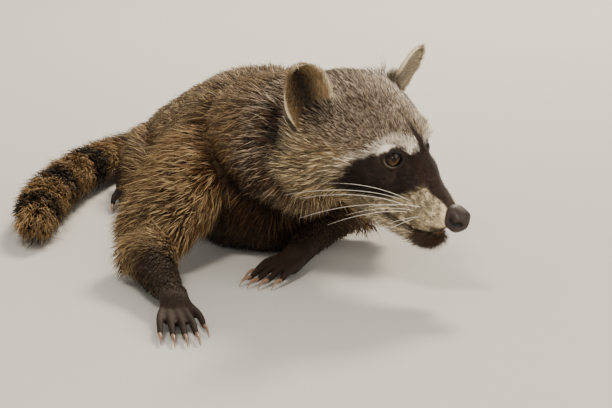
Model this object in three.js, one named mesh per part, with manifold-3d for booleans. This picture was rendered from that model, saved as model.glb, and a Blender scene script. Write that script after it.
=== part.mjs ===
// A raccoon lying on its belly with its head turned to its left, at life size.
//
// Millimetres, +Z up. The origin lies on the floor under the shoulders. The trunk runs from the chest,
// near the origin, towards +Y, and the face looks towards +X and -Y. Every body part is a closed solid
// lofted through named stations out to the tips of the coat, and trimmed flat where it meets the floor.

import Module from 'manifold-3d';
import * as THREE from 'three';
import { mergeVertices } from 'three/addons/utils/BufferGeometryUtils.js';

const wasm = await Module();
wasm.setup();

// ---------------------------------------------------------------- driving dimensions

const GAP = 0.3;                       // clearance between neighbouring parts
const FLOOR_DEPTH = 60;                // depth of the block that trims everything at z = 0
const REACH = 1200;                    // side of that block, wider than the animal

const TRUNK_TURN = 12;                 // degrees between the trunk's line and the Y axis
const HEAD_AT = [33.5, -104, 92];      // middle of the skull, between the cheeks
const HEAD_TURN = { yaw: 39, pitch: 18, roll: 3 };   // degrees, from facing +X level
const EYE_RADIUS = 7;
const EYE_AT = { x: 38.5, y: 16, z: 11.5 };         // in the head's own frame, for the left eye

// ---------------------------------------------------------------- materials

const finish = (color, roughness) => new THREE.MeshStandardMaterial({ color, roughness, metalness: 0 });
const COAT = finish(0x7a6448, 0.9);
const CROWN = finish(0x6f5f50, 0.9);
const TAIL_LIGHT = finish(0x8a7250, 0.9);
const TAIL_DARK = finish(0x2c221a, 0.9);
const PAW = finish(0x3e342a, 0.8);
const EAR = finish(0xb9a78c, 0.9);
const EYE = finish(0x2a1608, 0.1);
const NOSE = finish(0x46403e, 0.4);

// ---------------------------------------------------------------- solids

/** Closed triangle mesh with merged corners as a solid that can be joined and cut. */
function solidOf(geometry) {
  const bare = geometry.clone();
  bare.deleteAttribute('normal');
  bare.deleteAttribute('uv');
  const merged = mergeVertices(bare, 1e-4);
  return new wasm.Manifold(new wasm.Mesh({
    numProp: 3,
    vertProperties: Float32Array.from(merged.attributes.position.array),
    triVerts: Uint32Array.from(merged.index.array),
  }));
}

/** The largest connected piece of a solid, without the crumbs that a cut may leave. */
function mainPiece(solid) {
  const pieces = solid.decompose();
  return pieces.reduce((best, piece) => (piece.volume() > best.volume() ? piece : best));
}

/** Mesh for the scene made of a solid's triangles. */
function meshOf(name, solid, material) {
  const { vertProperties, triVerts } = mainPiece(solid).getMesh();
  const geometry = new THREE.BufferGeometry();
  geometry.setAttribute('position', new THREE.BufferAttribute(vertProperties, 3));
  geometry.setIndex(new THREE.BufferAttribute(triVerts, 1));
  geometry.computeVertexNormals();
  const mesh = new THREE.Mesh(geometry, material.clone());
  mesh.name = name;
  return mesh;
}

const vector = (point) => new THREE.Vector3(...point);

/** Radius of a bar of length 1 with rounded ends; a higher bluntness makes the ends flatter. */
const barRadius = (along, blunt) => Math.max(0, 1 - Math.abs(2 * along - 1) ** blunt) ** (1 / blunt);

/**
 * Tube along a smooth path, closed at both ends. Each station gives its centre and its half-sizes to
 * the side, up and down. The profile is a rounded bar turned on its axis, then each ring is carried to
 * the path and stretched to the stations' sizes. `from` and `to` keep one length of it, with flat cuts.
 */
function tube(stations, options = {}) {
  const { sides = 18, steps = 14, grow = 0, lead = [0, 0, 1], blunt = 5, from = 0, to = 1 } = options;
  const path = new THREE.CatmullRomCurve3(stations.map((s) => vector(s.at)));
  const sizes = new THREE.CatmullRomCurve3(
    stations.map((s) => new THREE.Vector3(s.side, s.up ?? s.side, s.down ?? s.up ?? s.side)),
  );
  const profile = [new THREE.Vector2(0, from)];
  for (let i = 0; i <= steps; i += 1) {
    const along = from + ((to - from) * (1 - Math.cos((Math.PI * i) / steps))) / 2;
    const radius = barRadius(along, blunt);
    if (radius > 0) profile.push(new THREE.Vector2(radius, along));
  }
  profile.push(new THREE.Vector2(0, to));
  const geometry = new THREE.LatheGeometry(profile, sides);
  const place = geometry.attributes.position;
  const upright = vector(lead);
  for (let i = 0; i < place.count; i += 1) {
    const [x, along, z] = [place.getX(i), place.getY(i), place.getZ(i)];
    const ahead = path.getTangent(along);
    const up = upright.clone().addScaledVector(ahead, -upright.dot(ahead)).normalize();
    const side = ahead.clone().cross(up);
    const size = sizes.getPoint(along);
    const height = z > 0 ? size.y : size.z;
    const point = path.getPoint(along)
      .addScaledVector(side, x * (size.x + grow))
      .addScaledVector(up, z * (height + grow))
      .addScaledVector(ahead, (2 * along - 1) ** 3 * grow);
    place.setXYZ(i, point.x, point.y, point.z);
  }
  return solidOf(geometry);
}

/** Ellipsoid with its half-sizes along X, Y and Z. */
function lump(at, [x, y, z], sides = 16) {
  const geometry = new THREE.SphereGeometry(1, sides, Math.ceil(sides * 0.6));
  geometry.scale(x, y, z);
  geometry.translate(...at);
  return solidOf(geometry);
}

const join = (...solids) => solids.reduce((whole, solid) => whole.add(solid));
const moved = (solid, matrix) => solid.transform(matrix.elements);

const floorBlock = new THREE.BoxGeometry(REACH, REACH, FLOOR_DEPTH);
floorBlock.translate(0, 0, -FLOOR_DEPTH / 2);
const ground = solidOf(floorBlock);
const onFloor = (solid) => solid.subtract(ground);

// ---------------------------------------------------------------- frames

const turn = (degrees) => THREE.MathUtils.degToRad(degrees);

const headFrame = new THREE.Matrix4().compose(
  vector(HEAD_AT),
  new THREE.Quaternion().setFromEuler(
    new THREE.Euler(turn(HEAD_TURN.roll), turn(HEAD_TURN.pitch), turn(-HEAD_TURN.yaw), 'ZYX'),
  ),
  new THREE.Vector3(1, 1, 1),
);

/** Point beside the trunk: lengthways from the origin towards the rump, and out to one side. */
function beside(along, out, up, left) {
  const angle = turn(TRUNK_TURN);
  const across = left ? out : -out;
  const x = -27 - Math.sin(angle) * along + Math.cos(angle) * across;
  const y = Math.cos(angle) * along + Math.sin(angle) * across;
  return [x, y, up];
}

// ---------------------------------------------------------------- trunk and neck

const TRUNK = [
  { at: [-16, -58, 66], side: 34, up: 32, down: 28 },
  { at: [-20, -36, 62], side: 52, up: 48, down: 56 },
  { at: [-26, 2, 60], side: 62, up: 62, down: 78 },
  { at: [-36, 52, 57], side: 62, up: 56, down: 76 },
  { at: [-46, 104, 50], side: 62, up: 48, down: 66 },
  { at: [-56, 154, 43], side: 62, up: 40, down: 57 },
  { at: [-66, 198, 37], side: 59, up: 34, down: 48 },
  { at: [-76, 234, 31], side: 48, up: 28, down: 38 },
  { at: [-83, 260, 26], side: 24, up: 17, down: 22 },
];
const trunkTube = (grow = 0) => tube(TRUNK, { sides: 20, steps: 13, grow });

const NECK = [
  { at: [-30, 8, 78], side: 40, up: 36, down: 40 },
  { at: [-20, -28, 84], side: 47, up: 40, down: 44 },
  { at: [-6, -62, 88], side: 48, up: 40, down: 50 },
  { at: [14, -88, 92], side: 44, up: 38, down: 50 },
];
const neckTube = () => tube(NECK, { sides: 16, steps: 8 });

// ---------------------------------------------------------------- head, in its own frame: +X to the nose, +Y left

const SKULL = [
  { at: [-44, 0, 2], side: 30, up: 28, down: 26 },
  { at: [-30, 0, 3], side: 44, up: 35, down: 36 },
  { at: [-8, 0, 4], side: 47, up: 36, down: 38 },
  { at: [14, 0, 2], side: 41, up: 33, down: 35 },
  { at: [30, 0, 0], side: 30, up: 28, down: 31 },
  { at: [44, 0, -4], side: 19, up: 19.5, down: 26 },
  { at: [58, 0, -9], side: 14.5, up: 12.5, down: 21 },
  { at: [72, 0, -13], side: 13, up: 9, down: 15.5 },
  { at: [83, 0, -16], side: 10.5, up: 7.5, down: 10 },
];
const JAW = [
  { at: [-4, 0, -26], side: 26, up: 14, down: 12 },
  { at: [20, 0, -29], side: 21, up: 12, down: 9 },
  { at: [46, 0, -30], side: 13, up: 9, down: 7 },
  { at: [64, 0, -30], side: 9.5, up: 7, down: 5.5 },
  { at: [76, 0, -28], side: 6.5, up: 5, down: 4 },
];
const NOSE_PAD = [
  { at: [74, 0, -12], side: 6, up: 5, down: 6 },
  { at: [80, 0, -12.5], side: 8, up: 7, down: 8 },
  { at: [86, 0, -13.5], side: 8, up: 6.5, down: 7.5 },
  { at: [90, 0, -14.5], side: 5.5, up: 4.5, down: 5 },
];

// Ears, in their own frame: +Z from the root to the tip, +Y across and +X the way the cup opens.
const EAR_LEAF = [
  { at: [0, 0, -6], side: 11, up: 6 },
  { at: [0, 0, 6], side: 14.5, up: 6.5 },
  { at: [-1.5, 0, 20], side: 16.5, up: 5 },
  { at: [-2, 0, 32], side: 14.5, up: 3.5 },
  { at: [-1, 0, 40], side: 10, up: 2.5 },
  { at: [0, 0, 45], side: 5, up: 2 },
];
const EAR_CUP = [
  { at: [6, 0, 3], side: 8, up: 5 },
  { at: [4, 0, 17], side: 12, up: 7 },
  { at: [2.5, 0, 29], side: 10.5, up: 5.5 },
  { at: [2.5, 0, 39], side: 5, up: 3.5 },
];
const EAR_FACING = [0.95, 0.3, -0.05];            // the way a left ear opens, in the head's frame
const EAR_ROOT = [-11, 36, 13];
const EAR_TIP = { left: [-15, 64, 45], right: [-19, 50, 53.5] };  // the left ear is held lower

/** Frame of one ear in the head's frame, from its root, its tip and the way it opens. */
function earFrame(left) {
  const mirror = new THREE.Vector3(1, left ? 1 : -1, 1);
  const root = vector(EAR_ROOT).multiply(mirror);
  const up = vector(left ? EAR_TIP.left : EAR_TIP.right).multiply(mirror).sub(root).normalize();
  const facing = vector(EAR_FACING).multiply(mirror);
  facing.addScaledVector(up, -facing.dot(up)).normalize();
  return new THREE.Matrix4().makeBasis(facing, up.clone().cross(facing), up).setPosition(root);
}

/** One ear: a leaf with a cup hollowed into its front. */
function earSolid(left, grow = 0) {
  const leaf = tube(EAR_LEAF, { sides: 12, steps: 8, grow, lead: [1, 0, 0], blunt: 4 });
  const cup = tube(EAR_CUP, { sides: 10, steps: 6, lead: [1, 0, 0] });
  return moved(grow > 0 ? leaf : leaf.subtract(cup), earFrame(left));
}

const eyeSolid = (left, grow = 0) => {
  const radius = EYE_RADIUS + grow;
  return lump([EYE_AT.x, left ? EYE_AT.y : -EYE_AT.y, EYE_AT.z], [radius, radius, radius], 12);
};
const noseSolid = (grow = 0) => tube(NOSE_PAD, { sides: 12, steps: 7, grow, blunt: 3 });

/** Skull, muzzle, cheeks, brows, throat and jaw in one. */
function headWhole(grow = 0) {
  const parts = [tube(SKULL, { sides: 20, steps: 13, grow }), tube(JAW, { sides: 10, steps: 6, grow })];
  for (const side of [-1, 1]) {
    parts.push(lump([-14, side * 31, -15], [29 + grow, 18 + grow, 23 + grow], 10));
    parts.push(lump([27, side * 14, 14], [16 + grow, 11 + grow, 9 + grow], 8));
  }
  parts.push(lump([2, 0, -22], [32 + grow, 27 + grow, 20 + grow], 10));
  return join(...parts);
}

/** The head with sockets for the eyes, the ears and the nose pad. */
const headSolid = () => [true, false].reduce(
  (rest, left) => rest.subtract(eyeSolid(left, GAP)).subtract(earSolid(left, GAP)),
  headWhole().subtract(noseSolid(GAP)),
);

// ---------------------------------------------------------------- paws, in their own frame: +X to the toes

/**
 * One paw with its palm, five toes and claws. The wrist is at the origin, `drop` above the floor.
 * The inner toe is the first: on the +Y side of a right paw.
 */
function pawSolid({ palm, width, toe, drop, spread, first, left }) {
  const hand = left ? -1 : 1;
  const low = 4 - drop;
  const parts = [tube([
    { at: [-6, 0, 1], side: width * 0.34, up: 7, down: 8 },
    { at: [palm * 0.35, 0, -1], side: width * 0.42, up: 7, down: drop - 2 },
    { at: [palm * 0.8, 0, low + 2.5], side: width * 0.5, up: 6, down: 8 },
    { at: [palm * 1.08, 0, low + 1], side: width * 0.46, up: 4.5, down: 6 },
  ], { sides: 10, steps: 5 })];
  const lengths = [first, 0.92, 1, 0.96, 0.78];
  lengths.forEach((share, i) => {
    const across = hand * width * (0.42 - i * 0.21);
    const start = palm * (i === 0 ? 0.62 : 0.95);
    const reach = toe * share;
    const fan = 1 + spread;
    const tip = [start + reach, across * fan, low - 0.5];
    parts.push(tube([
      { at: [start - 6, across * 0.9, low + 1], side: 3.8, up: 3.6 },
      { at: [start + reach * 0.45, across * (1 + spread * 0.5), low + 3], side: 3.5, up: 3.3 },
      { at: tip, side: 2.9, up: 2.8 },
    ], { sides: 6, steps: 4 }));
    parts.push(tube([
      { at: [tip[0] - 2, tip[1], tip[2] + 0.6], side: 1.7, up: 2 },
      { at: [tip[0] + 5, tip[1] * 1.04, tip[2] + 0.8], side: 1.3, up: 1.6 },
      { at: [tip[0] + 10, tip[1] * 1.06, tip[2] - 2.4], side: 0.5, up: 0.6 },
    ], { sides: 4, steps: 3, blunt: 3 }));
  });
  return join(...parts);
}

/** Frame of a paw at a wrist or heel, turned to point the toes at a place on the floor. */
function pawFrame(wrist, toes) {
  const heading = Math.atan2(toes[1] - wrist[1], toes[0] - wrist[0]);
  return new THREE.Matrix4().makeRotationZ(heading).setPosition(...wrist);
}

const FORE_PAW = { palm: 33, width: 25, toe: 26, drop: 14, spread: 0.18, first: 0.72 };
const HIND_PAW = { palm: 56, width: 27, toe: 20, drop: 13, spread: 0.18, first: 0.8 };

const ARM_RIGHT = {
  shoulder: [-56, -6, 66], above: [-82, -52, 46], elbow: [-102, -94, 24],
  lower: [-92, -138, 17], wrist: [-80, -184, 14], toes: [-66, -258, 0],
};
const ARM_LEFT = {
  shoulder: [22, -22, 62], above: [30, 0, 46], elbow: [30, 20, 26],
  lower: [16, -22, 20], wrist: [0, -66, 14], toes: [-42, -130, 0],
};

const upperArm = (arm, grow = 0) => tube([
  { at: arm.shoulder, side: 34, up: 34 },
  { at: arm.above, side: 29, up: 27 },
  { at: arm.elbow, side: 26, up: 20, down: 23 },
], { sides: 12, steps: 7, grow });

const forearm = (arm, grow = 0) => tube([
  { at: arm.elbow, side: 24, up: 18, down: 23 },
  { at: arm.lower, side: 15, up: 13, down: 16 },
  { at: arm.wrist, side: 10.5, up: 9, down: 12 },
], { sides: 12, steps: 6, grow });

/** Stations of one hind leg, folded flat beside the rump with the foot forward. */
function hindLeg(left) {
  return {
    thigh: [
      { at: beside(205, 38, 34, left), side: 24, up: 28, down: 34 },
      { at: beside(176, 50, 28, left), side: 24, up: 29, down: 30 },
      { at: beside(142, 57, 22, left), side: 20, up: 23, down: 26 },
      { at: beside(114, 60, 18, left), side: 14, up: 15, down: 20 },
    ],
    shank: [
      { at: beside(118, 64, 16, left), side: 12, up: 13, down: 18 },
      { at: beside(156, 68, 14, left), side: 12, up: 13, down: 16 },
      { at: beside(194, 66, 13, left), side: 10, up: 11, down: 14 },
    ],
    heel: beside(182, 70, HIND_PAW.drop, left),
    toes: beside(100, 76, 0, left),
  };
}

// ---------------------------------------------------------------- tail

const TAIL = [
  { at: [-84, 240, 22], side: 17, up: 17, down: 22 },
  { at: [-108, 242, 19], side: 17, up: 17, down: 22 },
  { at: [-138, 222, 16], side: 17, up: 17, down: 19 },
  { at: [-162, 172, 16], side: 18, up: 18, down: 19 },
  { at: [-176, 112, 16], side: 18.5, up: 18, down: 19 },
  { at: [-183, 58, 16], side: 18.5, up: 18, down: 19 },
  { at: [-184, 12, 15], side: 17, up: 16, down: 18 },
  { at: [-182, -22, 12], side: 10, up: 10, down: 14 },
];
const TAIL_LENGTHS = 4;
const TAIL_PATH = 330;                 // about the tail's length along its path

/** One of the tail's lengths, with half the gap taken off each cut end. */
function tailLength(index, grow = 0) {
  const cut = GAP / TAIL_PATH / 2;
  const from = index === 0 ? 0 : index / TAIL_LENGTHS + cut;
  const to = index === TAIL_LENGTHS - 1 ? 1 : (index + 1) / TAIL_LENGTHS - cut;
  return tube(TAIL, { sides: 14, steps: 5, from, to, grow });
}

// ---------------------------------------------------------------- assembly

const raccoon = new THREE.Group();

const head = new THREE.Group();
head.applyMatrix4(headFrame);
head.add(meshOf('head', headSolid(), CROWN));
head.add(meshOf('nose_pad', noseSolid(), NOSE));
for (const left of [true, false]) {
  const side = left ? 'left' : 'right';
  head.add(meshOf(`eye_${side}`, eyeSolid(left), EYE));
  head.add(meshOf(`ear_${side}`, earSolid(left), EAR));
}
raccoon.add(head);

const headRoom = moved(headWhole(GAP), headFrame);
let trunk = onFloor(trunkTube());
let neck = neckTube().subtract(headRoom).subtract(trunkTube(GAP));

for (const left of [false, true]) {
  const side = left ? 'left' : 'right';
  const arm = left ? ARM_LEFT : ARM_RIGHT;
  const paw = onFloor(moved(pawSolid({ ...FORE_PAW, left }), pawFrame(arm.wrist, arm.toes)));
  const lower = onFloor(forearm(arm)).subtract(upperArm(arm, GAP));
  raccoon.add(meshOf(`upper_arm_${side}`, onFloor(upperArm(arm)).subtract(headRoom), COAT));
  raccoon.add(meshOf(`forearm_${side}`, lower.subtract(headRoom), COAT));
  raccoon.add(meshOf(`hand_${side}`, paw.subtract(forearm(arm, GAP)), PAW));
  trunk = trunk.subtract(upperArm(arm, GAP)).subtract(forearm(arm, GAP));
  neck = neck.subtract(upperArm(arm, GAP));

  const leg = hindLeg(left);
  const thighTube = (grow = 0) => tube(leg.thigh, { sides: 12, steps: 8, grow });
  const shankTube = (grow = 0) => tube(leg.shank, { sides: 10, steps: 6, grow });
  const foot = onFloor(moved(pawSolid({ ...HIND_PAW, left }), pawFrame(leg.heel, leg.toes)));
  const shank = onFloor(shankTube()).subtract(thighTube(GAP));
  raccoon.add(meshOf(`thigh_${side}`, onFloor(thighTube()), COAT));
  raccoon.add(meshOf(`shank_${side}`, shank, COAT));
  raccoon.add(meshOf(`foot_${side}`, foot.subtract(thighTube(GAP)).subtract(shankTube(GAP)), PAW));
  trunk = trunk.subtract(thighTube(GAP)).subtract(shankTube(GAP));
}
raccoon.add(meshOf('neck', neck, COAT));

for (let i = 0; i < TAIL_LENGTHS; i += 1) {
  raccoon.add(meshOf(`tail_${i + 1}`, onFloor(tailLength(i)), i % 2 ? TAIL_DARK : TAIL_LIGHT));
  trunk = trunk.subtract(tailLength(i, GAP));
}
raccoon.add(meshOf('trunk', trunk, COAT));

export default raccoon;
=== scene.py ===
"""A life-size raccoon lying on its belly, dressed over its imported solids.

One skin is fused from lofted body parts and lies inside the solids by the depth of the coat. Tufts of
fur, each a closed tapered prism, grow from it along the lie of the coat and carry the same markings.
Eyes, lids, nose, claws and whiskers are pieces of their own. Meshes are in metres in the row frame.
"""

import logging
import math
from collections.abc import Iterable
from dataclasses import dataclass, field, replace
from enum import Enum
from functools import reduce

import bpy
import numpy as np
from mathutils import Matrix, Vector


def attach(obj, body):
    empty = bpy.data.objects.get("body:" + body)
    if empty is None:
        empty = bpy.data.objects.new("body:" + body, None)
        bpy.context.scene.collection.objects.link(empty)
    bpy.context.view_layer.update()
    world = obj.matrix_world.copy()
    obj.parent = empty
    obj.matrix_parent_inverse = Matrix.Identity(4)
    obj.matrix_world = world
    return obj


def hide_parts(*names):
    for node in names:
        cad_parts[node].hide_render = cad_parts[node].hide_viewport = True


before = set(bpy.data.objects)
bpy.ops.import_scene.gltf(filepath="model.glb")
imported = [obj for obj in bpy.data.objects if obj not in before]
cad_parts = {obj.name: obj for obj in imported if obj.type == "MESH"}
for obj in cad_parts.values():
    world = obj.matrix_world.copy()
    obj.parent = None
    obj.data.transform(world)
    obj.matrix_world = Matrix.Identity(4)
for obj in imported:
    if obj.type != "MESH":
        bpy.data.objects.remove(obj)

Array = np.ndarray
Pair = tuple[float, float]
Place = tuple[float, float, float]
Row = tuple[float, ...]

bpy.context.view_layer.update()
MM = 0.001
PER_SQUARE_CM = 1e4
BODY = "root"
FLOOR_CLEARANCE = 0.5 * MM
LONGEST_FINE_TUFT = 7.5 * MM
BODY_VOXEL = 2.8 * MM
SEED = 7

log = logging.getLogger("raccoon")


# ---- numbers


def unit(v: Array) -> Array:
    """Rows of v divided by their lengths."""
    return v / np.maximum(np.linalg.norm(v, axis=-1, keepdims=True), 1e-12)


def smooth(low: float, high: float, x: Array) -> Array:
    """Smooth step at x: 3s squared - 2s cubed, where s runs from 0 at low to 1 at high."""
    s = np.clip((x - low) / (high - low), 0.0, 1.0)
    return s * s * (3.0 - 2.0 * s)


def tone(code: str) -> Array:
    """Linear colour of a hex code, a hash and six digits, in the usual screen encoding."""
    c = np.array([int(code[i : i + 2], 16) / 255.0 for i in (1, 3, 5)])
    return np.where(c <= 0.04045, c / 12.92, ((c + 0.055) / 1.055) ** 2.4)


def waves(points: Array, size: float, seed: int) -> Array:
    """Smooth noise between about -1 and 1: a sum of sine waves in random directions.

    Args:
        points: places, one a row, in metres.
        size: length of the widest wave, in metres.
        seed: seed of the directions and phases.

    Returns:
        One value for each point.
    """
    rng = np.random.default_rng(seed)
    count, lowest, highest = 10, 0.8, 1.9
    ways = unit(rng.normal(size=(count, 3))) * (2.0 * np.pi / size)
    ways *= rng.uniform(lowest, highest, (count, 1))
    phases = rng.uniform(0.0, 2.0 * np.pi, count)
    return np.sin(points @ ways.T + phases).sum(1) / math.sqrt(count / 2.0) * 0.6


def spline(points: Array, t: Array) -> Array:
    """Centripetal Catmull-Rom curve through the points, with t from 0 to 1 spread evenly over them.

    On each stretch the curve is a cubic whose end slopes come from its neighbours, weighted by the
    square roots of the distances between them. Beyond each end the last stretch is mirrored.

    Args:
        points: places to pass through, one a row.
        t: shares of the way at which the curve is wanted.

    Returns:
        One place for each share.
    """
    ends = np.vstack([2 * points[0] - points[1], points, 2 * points[-1] - points[-2]])
    place = np.clip(np.asarray(t, float), 0.0, 1.0) * (len(points) - 1)
    k = np.minimum(place.astype(int), len(points) - 2)
    w = (place - k)[:, None]
    p0, p1, p2, p3 = (ends[k + i] for i in range(4))

    def reach(a: Array, b: Array) -> Array:
        """Square root of the distance between rows of a and b."""
        return np.sqrt(np.linalg.norm(b - a, axis=1, keepdims=True))

    d0, d1, d2 = reach(p0, p1), reach(p1, p2), reach(p2, p3)
    d1 = np.where(d1 < 1e-4, 1.0, d1)
    d0 = np.where(d0 < 1e-4, d1, d0)
    d2 = np.where(d2 < 1e-4, d1, d2)
    m1 = ((p1 - p0) / d0 - (p2 - p0) / (d0 + d1) + (p2 - p1) / d1) * d1
    m2 = ((p2 - p1) / d1 - (p3 - p1) / (d1 + d2) + (p3 - p2) / d2) * d1
    bend = -3 * p1 + 3 * p2 - 2 * m1 - m2
    twist = 2 * p1 - 2 * p2 + m1 + m2
    return p1 + w * (m1 + w * (bend + w * twist))


@dataclass(frozen=True)
class Table:
    """A value for each place along a line, with straight runs between them."""

    at: Row
    values: Row

    def __call__(self, x: Array) -> Array:
        """The value at each place x, held beyond the ends."""
        return np.interp(x, self.at, self.values)


def turned(yaw: float, pitch: float, roll: float, at: Iterable[float]) -> Array:
    """Frame turned by roll about X, then pitch about Y, then yaw about Z, and moved.

    Args:
        yaw: turn about Z, in degrees.
        pitch: turn about Y, in degrees.
        roll: turn about X, in degrees.
        at: origin of the frame, in metres.

    Returns:
        The frame as a 4 by 4 array.
    """
    turn = Matrix.Rotation(math.radians(yaw), 4, "Z")
    turn @= Matrix.Rotation(math.radians(pitch), 4, "Y")
    turn @= Matrix.Rotation(math.radians(roll), 4, "X")
    return np.array(Matrix.Translation(Vector(at)) @ turn)


def placed(points: Array, place: Array) -> Array:
    """Points carried out of a local frame."""
    return points @ place[:3, :3].T + place[:3, 3]


def local(points: Array, place: Array) -> Array:
    """Points carried into a local frame."""
    return (points - place[:3, 3]) @ place[:3, :3]


# ---- meshes


@dataclass
class Surface:
    """A mesh as arrays: corners, the corners of each face in a row, and how many each face has."""

    verts: Array
    loops: Array
    sizes: Array

    def fours(self) -> Array:
        """The faces as four corners each, the last one repeated in a triangle."""
        starts = np.cumsum(self.sizes) - self.sizes
        return self.loops[starts[:, None] + np.minimum(np.arange(4), self.sizes[:, None] - 1)]

    def joined(self, other: "Surface") -> "Surface":
        """This surface and another as one."""
        return Surface(
            np.vstack([self.verts, other.verts]),
            np.concatenate([self.loops, other.loops + len(self.verts)]),
            np.concatenate([self.sizes, other.sizes]),
        )

    def mesh(self, name: str) -> bpy.types.Mesh:
        """A new mesh filled from the arrays.

        Args:
            name: name of the mesh.

        Returns:
            The mesh, with its edges worked out.
        """
        mesh = bpy.data.meshes.new(name)
        mesh.vertices.add(len(self.verts))
        mesh.vertices.foreach_set("co", self.verts.astype(np.float32).ravel())
        mesh.loops.add(len(self.loops))
        mesh.loops.foreach_set("vertex_index", self.loops.astype(np.int32))
        mesh.polygons.add(len(self.sizes))
        starts = np.cumsum(self.sizes) - self.sizes
        mesh.polygons.foreach_set("loop_start", starts.astype(np.int32))
        mesh.update(calc_edges=True)
        return mesh


def all_joined(surfaces: Iterable[Surface]) -> Surface:
    """Several surfaces as one, in their order."""
    return reduce(Surface.joined, surfaces)


def grid_faces(rows: int, columns: int) -> tuple[Array, Array]:
    """Faces of a tube of rings with a pole at each end.

    Ring r, place c is corner 1 + r * columns + c. Corner 0 is the first pole and the last corner is
    the last pole.

    Args:
        rows: number of rings.
        columns: number of corners in a ring.

    Returns:
        The corners of the faces in a row, and the number of corners of each face.
    """
    r, c = np.meshgrid(np.arange(rows - 1), np.arange(columns), indexing="ij")
    here = 1 + r * columns + c
    beside = 1 + r * columns + (c + 1) % columns
    quads = np.stack([here, here + columns, beside + columns, beside], -1).reshape(-1, 4)
    ring = np.arange(columns)
    onward = (ring + 1) % columns
    first = np.stack([np.zeros_like(ring), 1 + ring, 1 + onward], -1)
    top = 1 + (rows - 1) * columns
    last = np.stack([np.full_like(ring, top + columns), top + onward, top + ring], -1)
    loops = np.concatenate([quads.ravel(), first.ravel(), last.ravel()])
    sizes = np.concatenate([np.full(len(quads), 4), np.full(2 * columns, 3)])
    return loops, sizes


def add_piece(
    name: str,
    surface: Surface,
    material: bpy.types.Material,
    colours: Array | None = None,
    uv: Array | None = None,
) -> bpy.types.Object:
    """Object for a finished surface, at the origin, riding on the body.

    Args:
        name: name of the piece.
        surface: its mesh.
        material: its finish.
        colours: one linear colour a corner, kept as the attribute "Tone".
        uv: one place a corner on the bake map.

    Returns:
        The new object.
    """
    mesh = surface.mesh(name)
    mesh.polygons.foreach_set("use_smooth", np.ones(len(surface.sizes), bool))
    if colours is not None:
        tones = mesh.color_attributes.new("Tone", "FLOAT_COLOR", "POINT")
        rgba = np.hstack([colours, np.ones((len(colours), 1))])
        tones.data.foreach_set("color", rgba.astype(np.float32).ravel())
    if uv is not None:
        layer = mesh.uv_layers.new(name="OFBake")
        layer.uv.foreach_set("vector", uv[surface.loops].astype(np.float32).ravel())
    mesh.materials.append(material)
    piece = bpy.data.objects.new(name, mesh)
    bpy.context.scene.collection.objects.link(piece)
    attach(piece, BODY)
    log.info("%s: %d triangles", name, int((surface.sizes - 2).sum()))
    return piece


# ---- body parts


@dataclass(frozen=True)
class Station:
    """A cross-section of a body part, in millimetres, out to the tips of the coat.

    coat is the depth of the coat here, which the skin lies inside the outline.
    """

    at: Place
    side: float
    up: float
    down: float
    coat: float


def stations(*rows: Row) -> tuple[Station, ...]:
    """Stations from rows of x, y, z, side, up, down and coat, in millimetres."""
    return tuple(Station(row[:3], *row[3:]) for row in rows)


@dataclass(frozen=True)
class Pelage:
    """How the coat grows on a body part, in millimetres.

    length, width and rise size a tuft: rise is how far its tip stands off the skin. density is in
    tufts on a square centimetre. fall is how strongly its lie turns down, and gather how much the
    tips of neighbours run together into locks.
    """

    length: float
    width: float
    rise: float
    density: float
    fall: float = 0.2
    gather: float = 0.4


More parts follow.
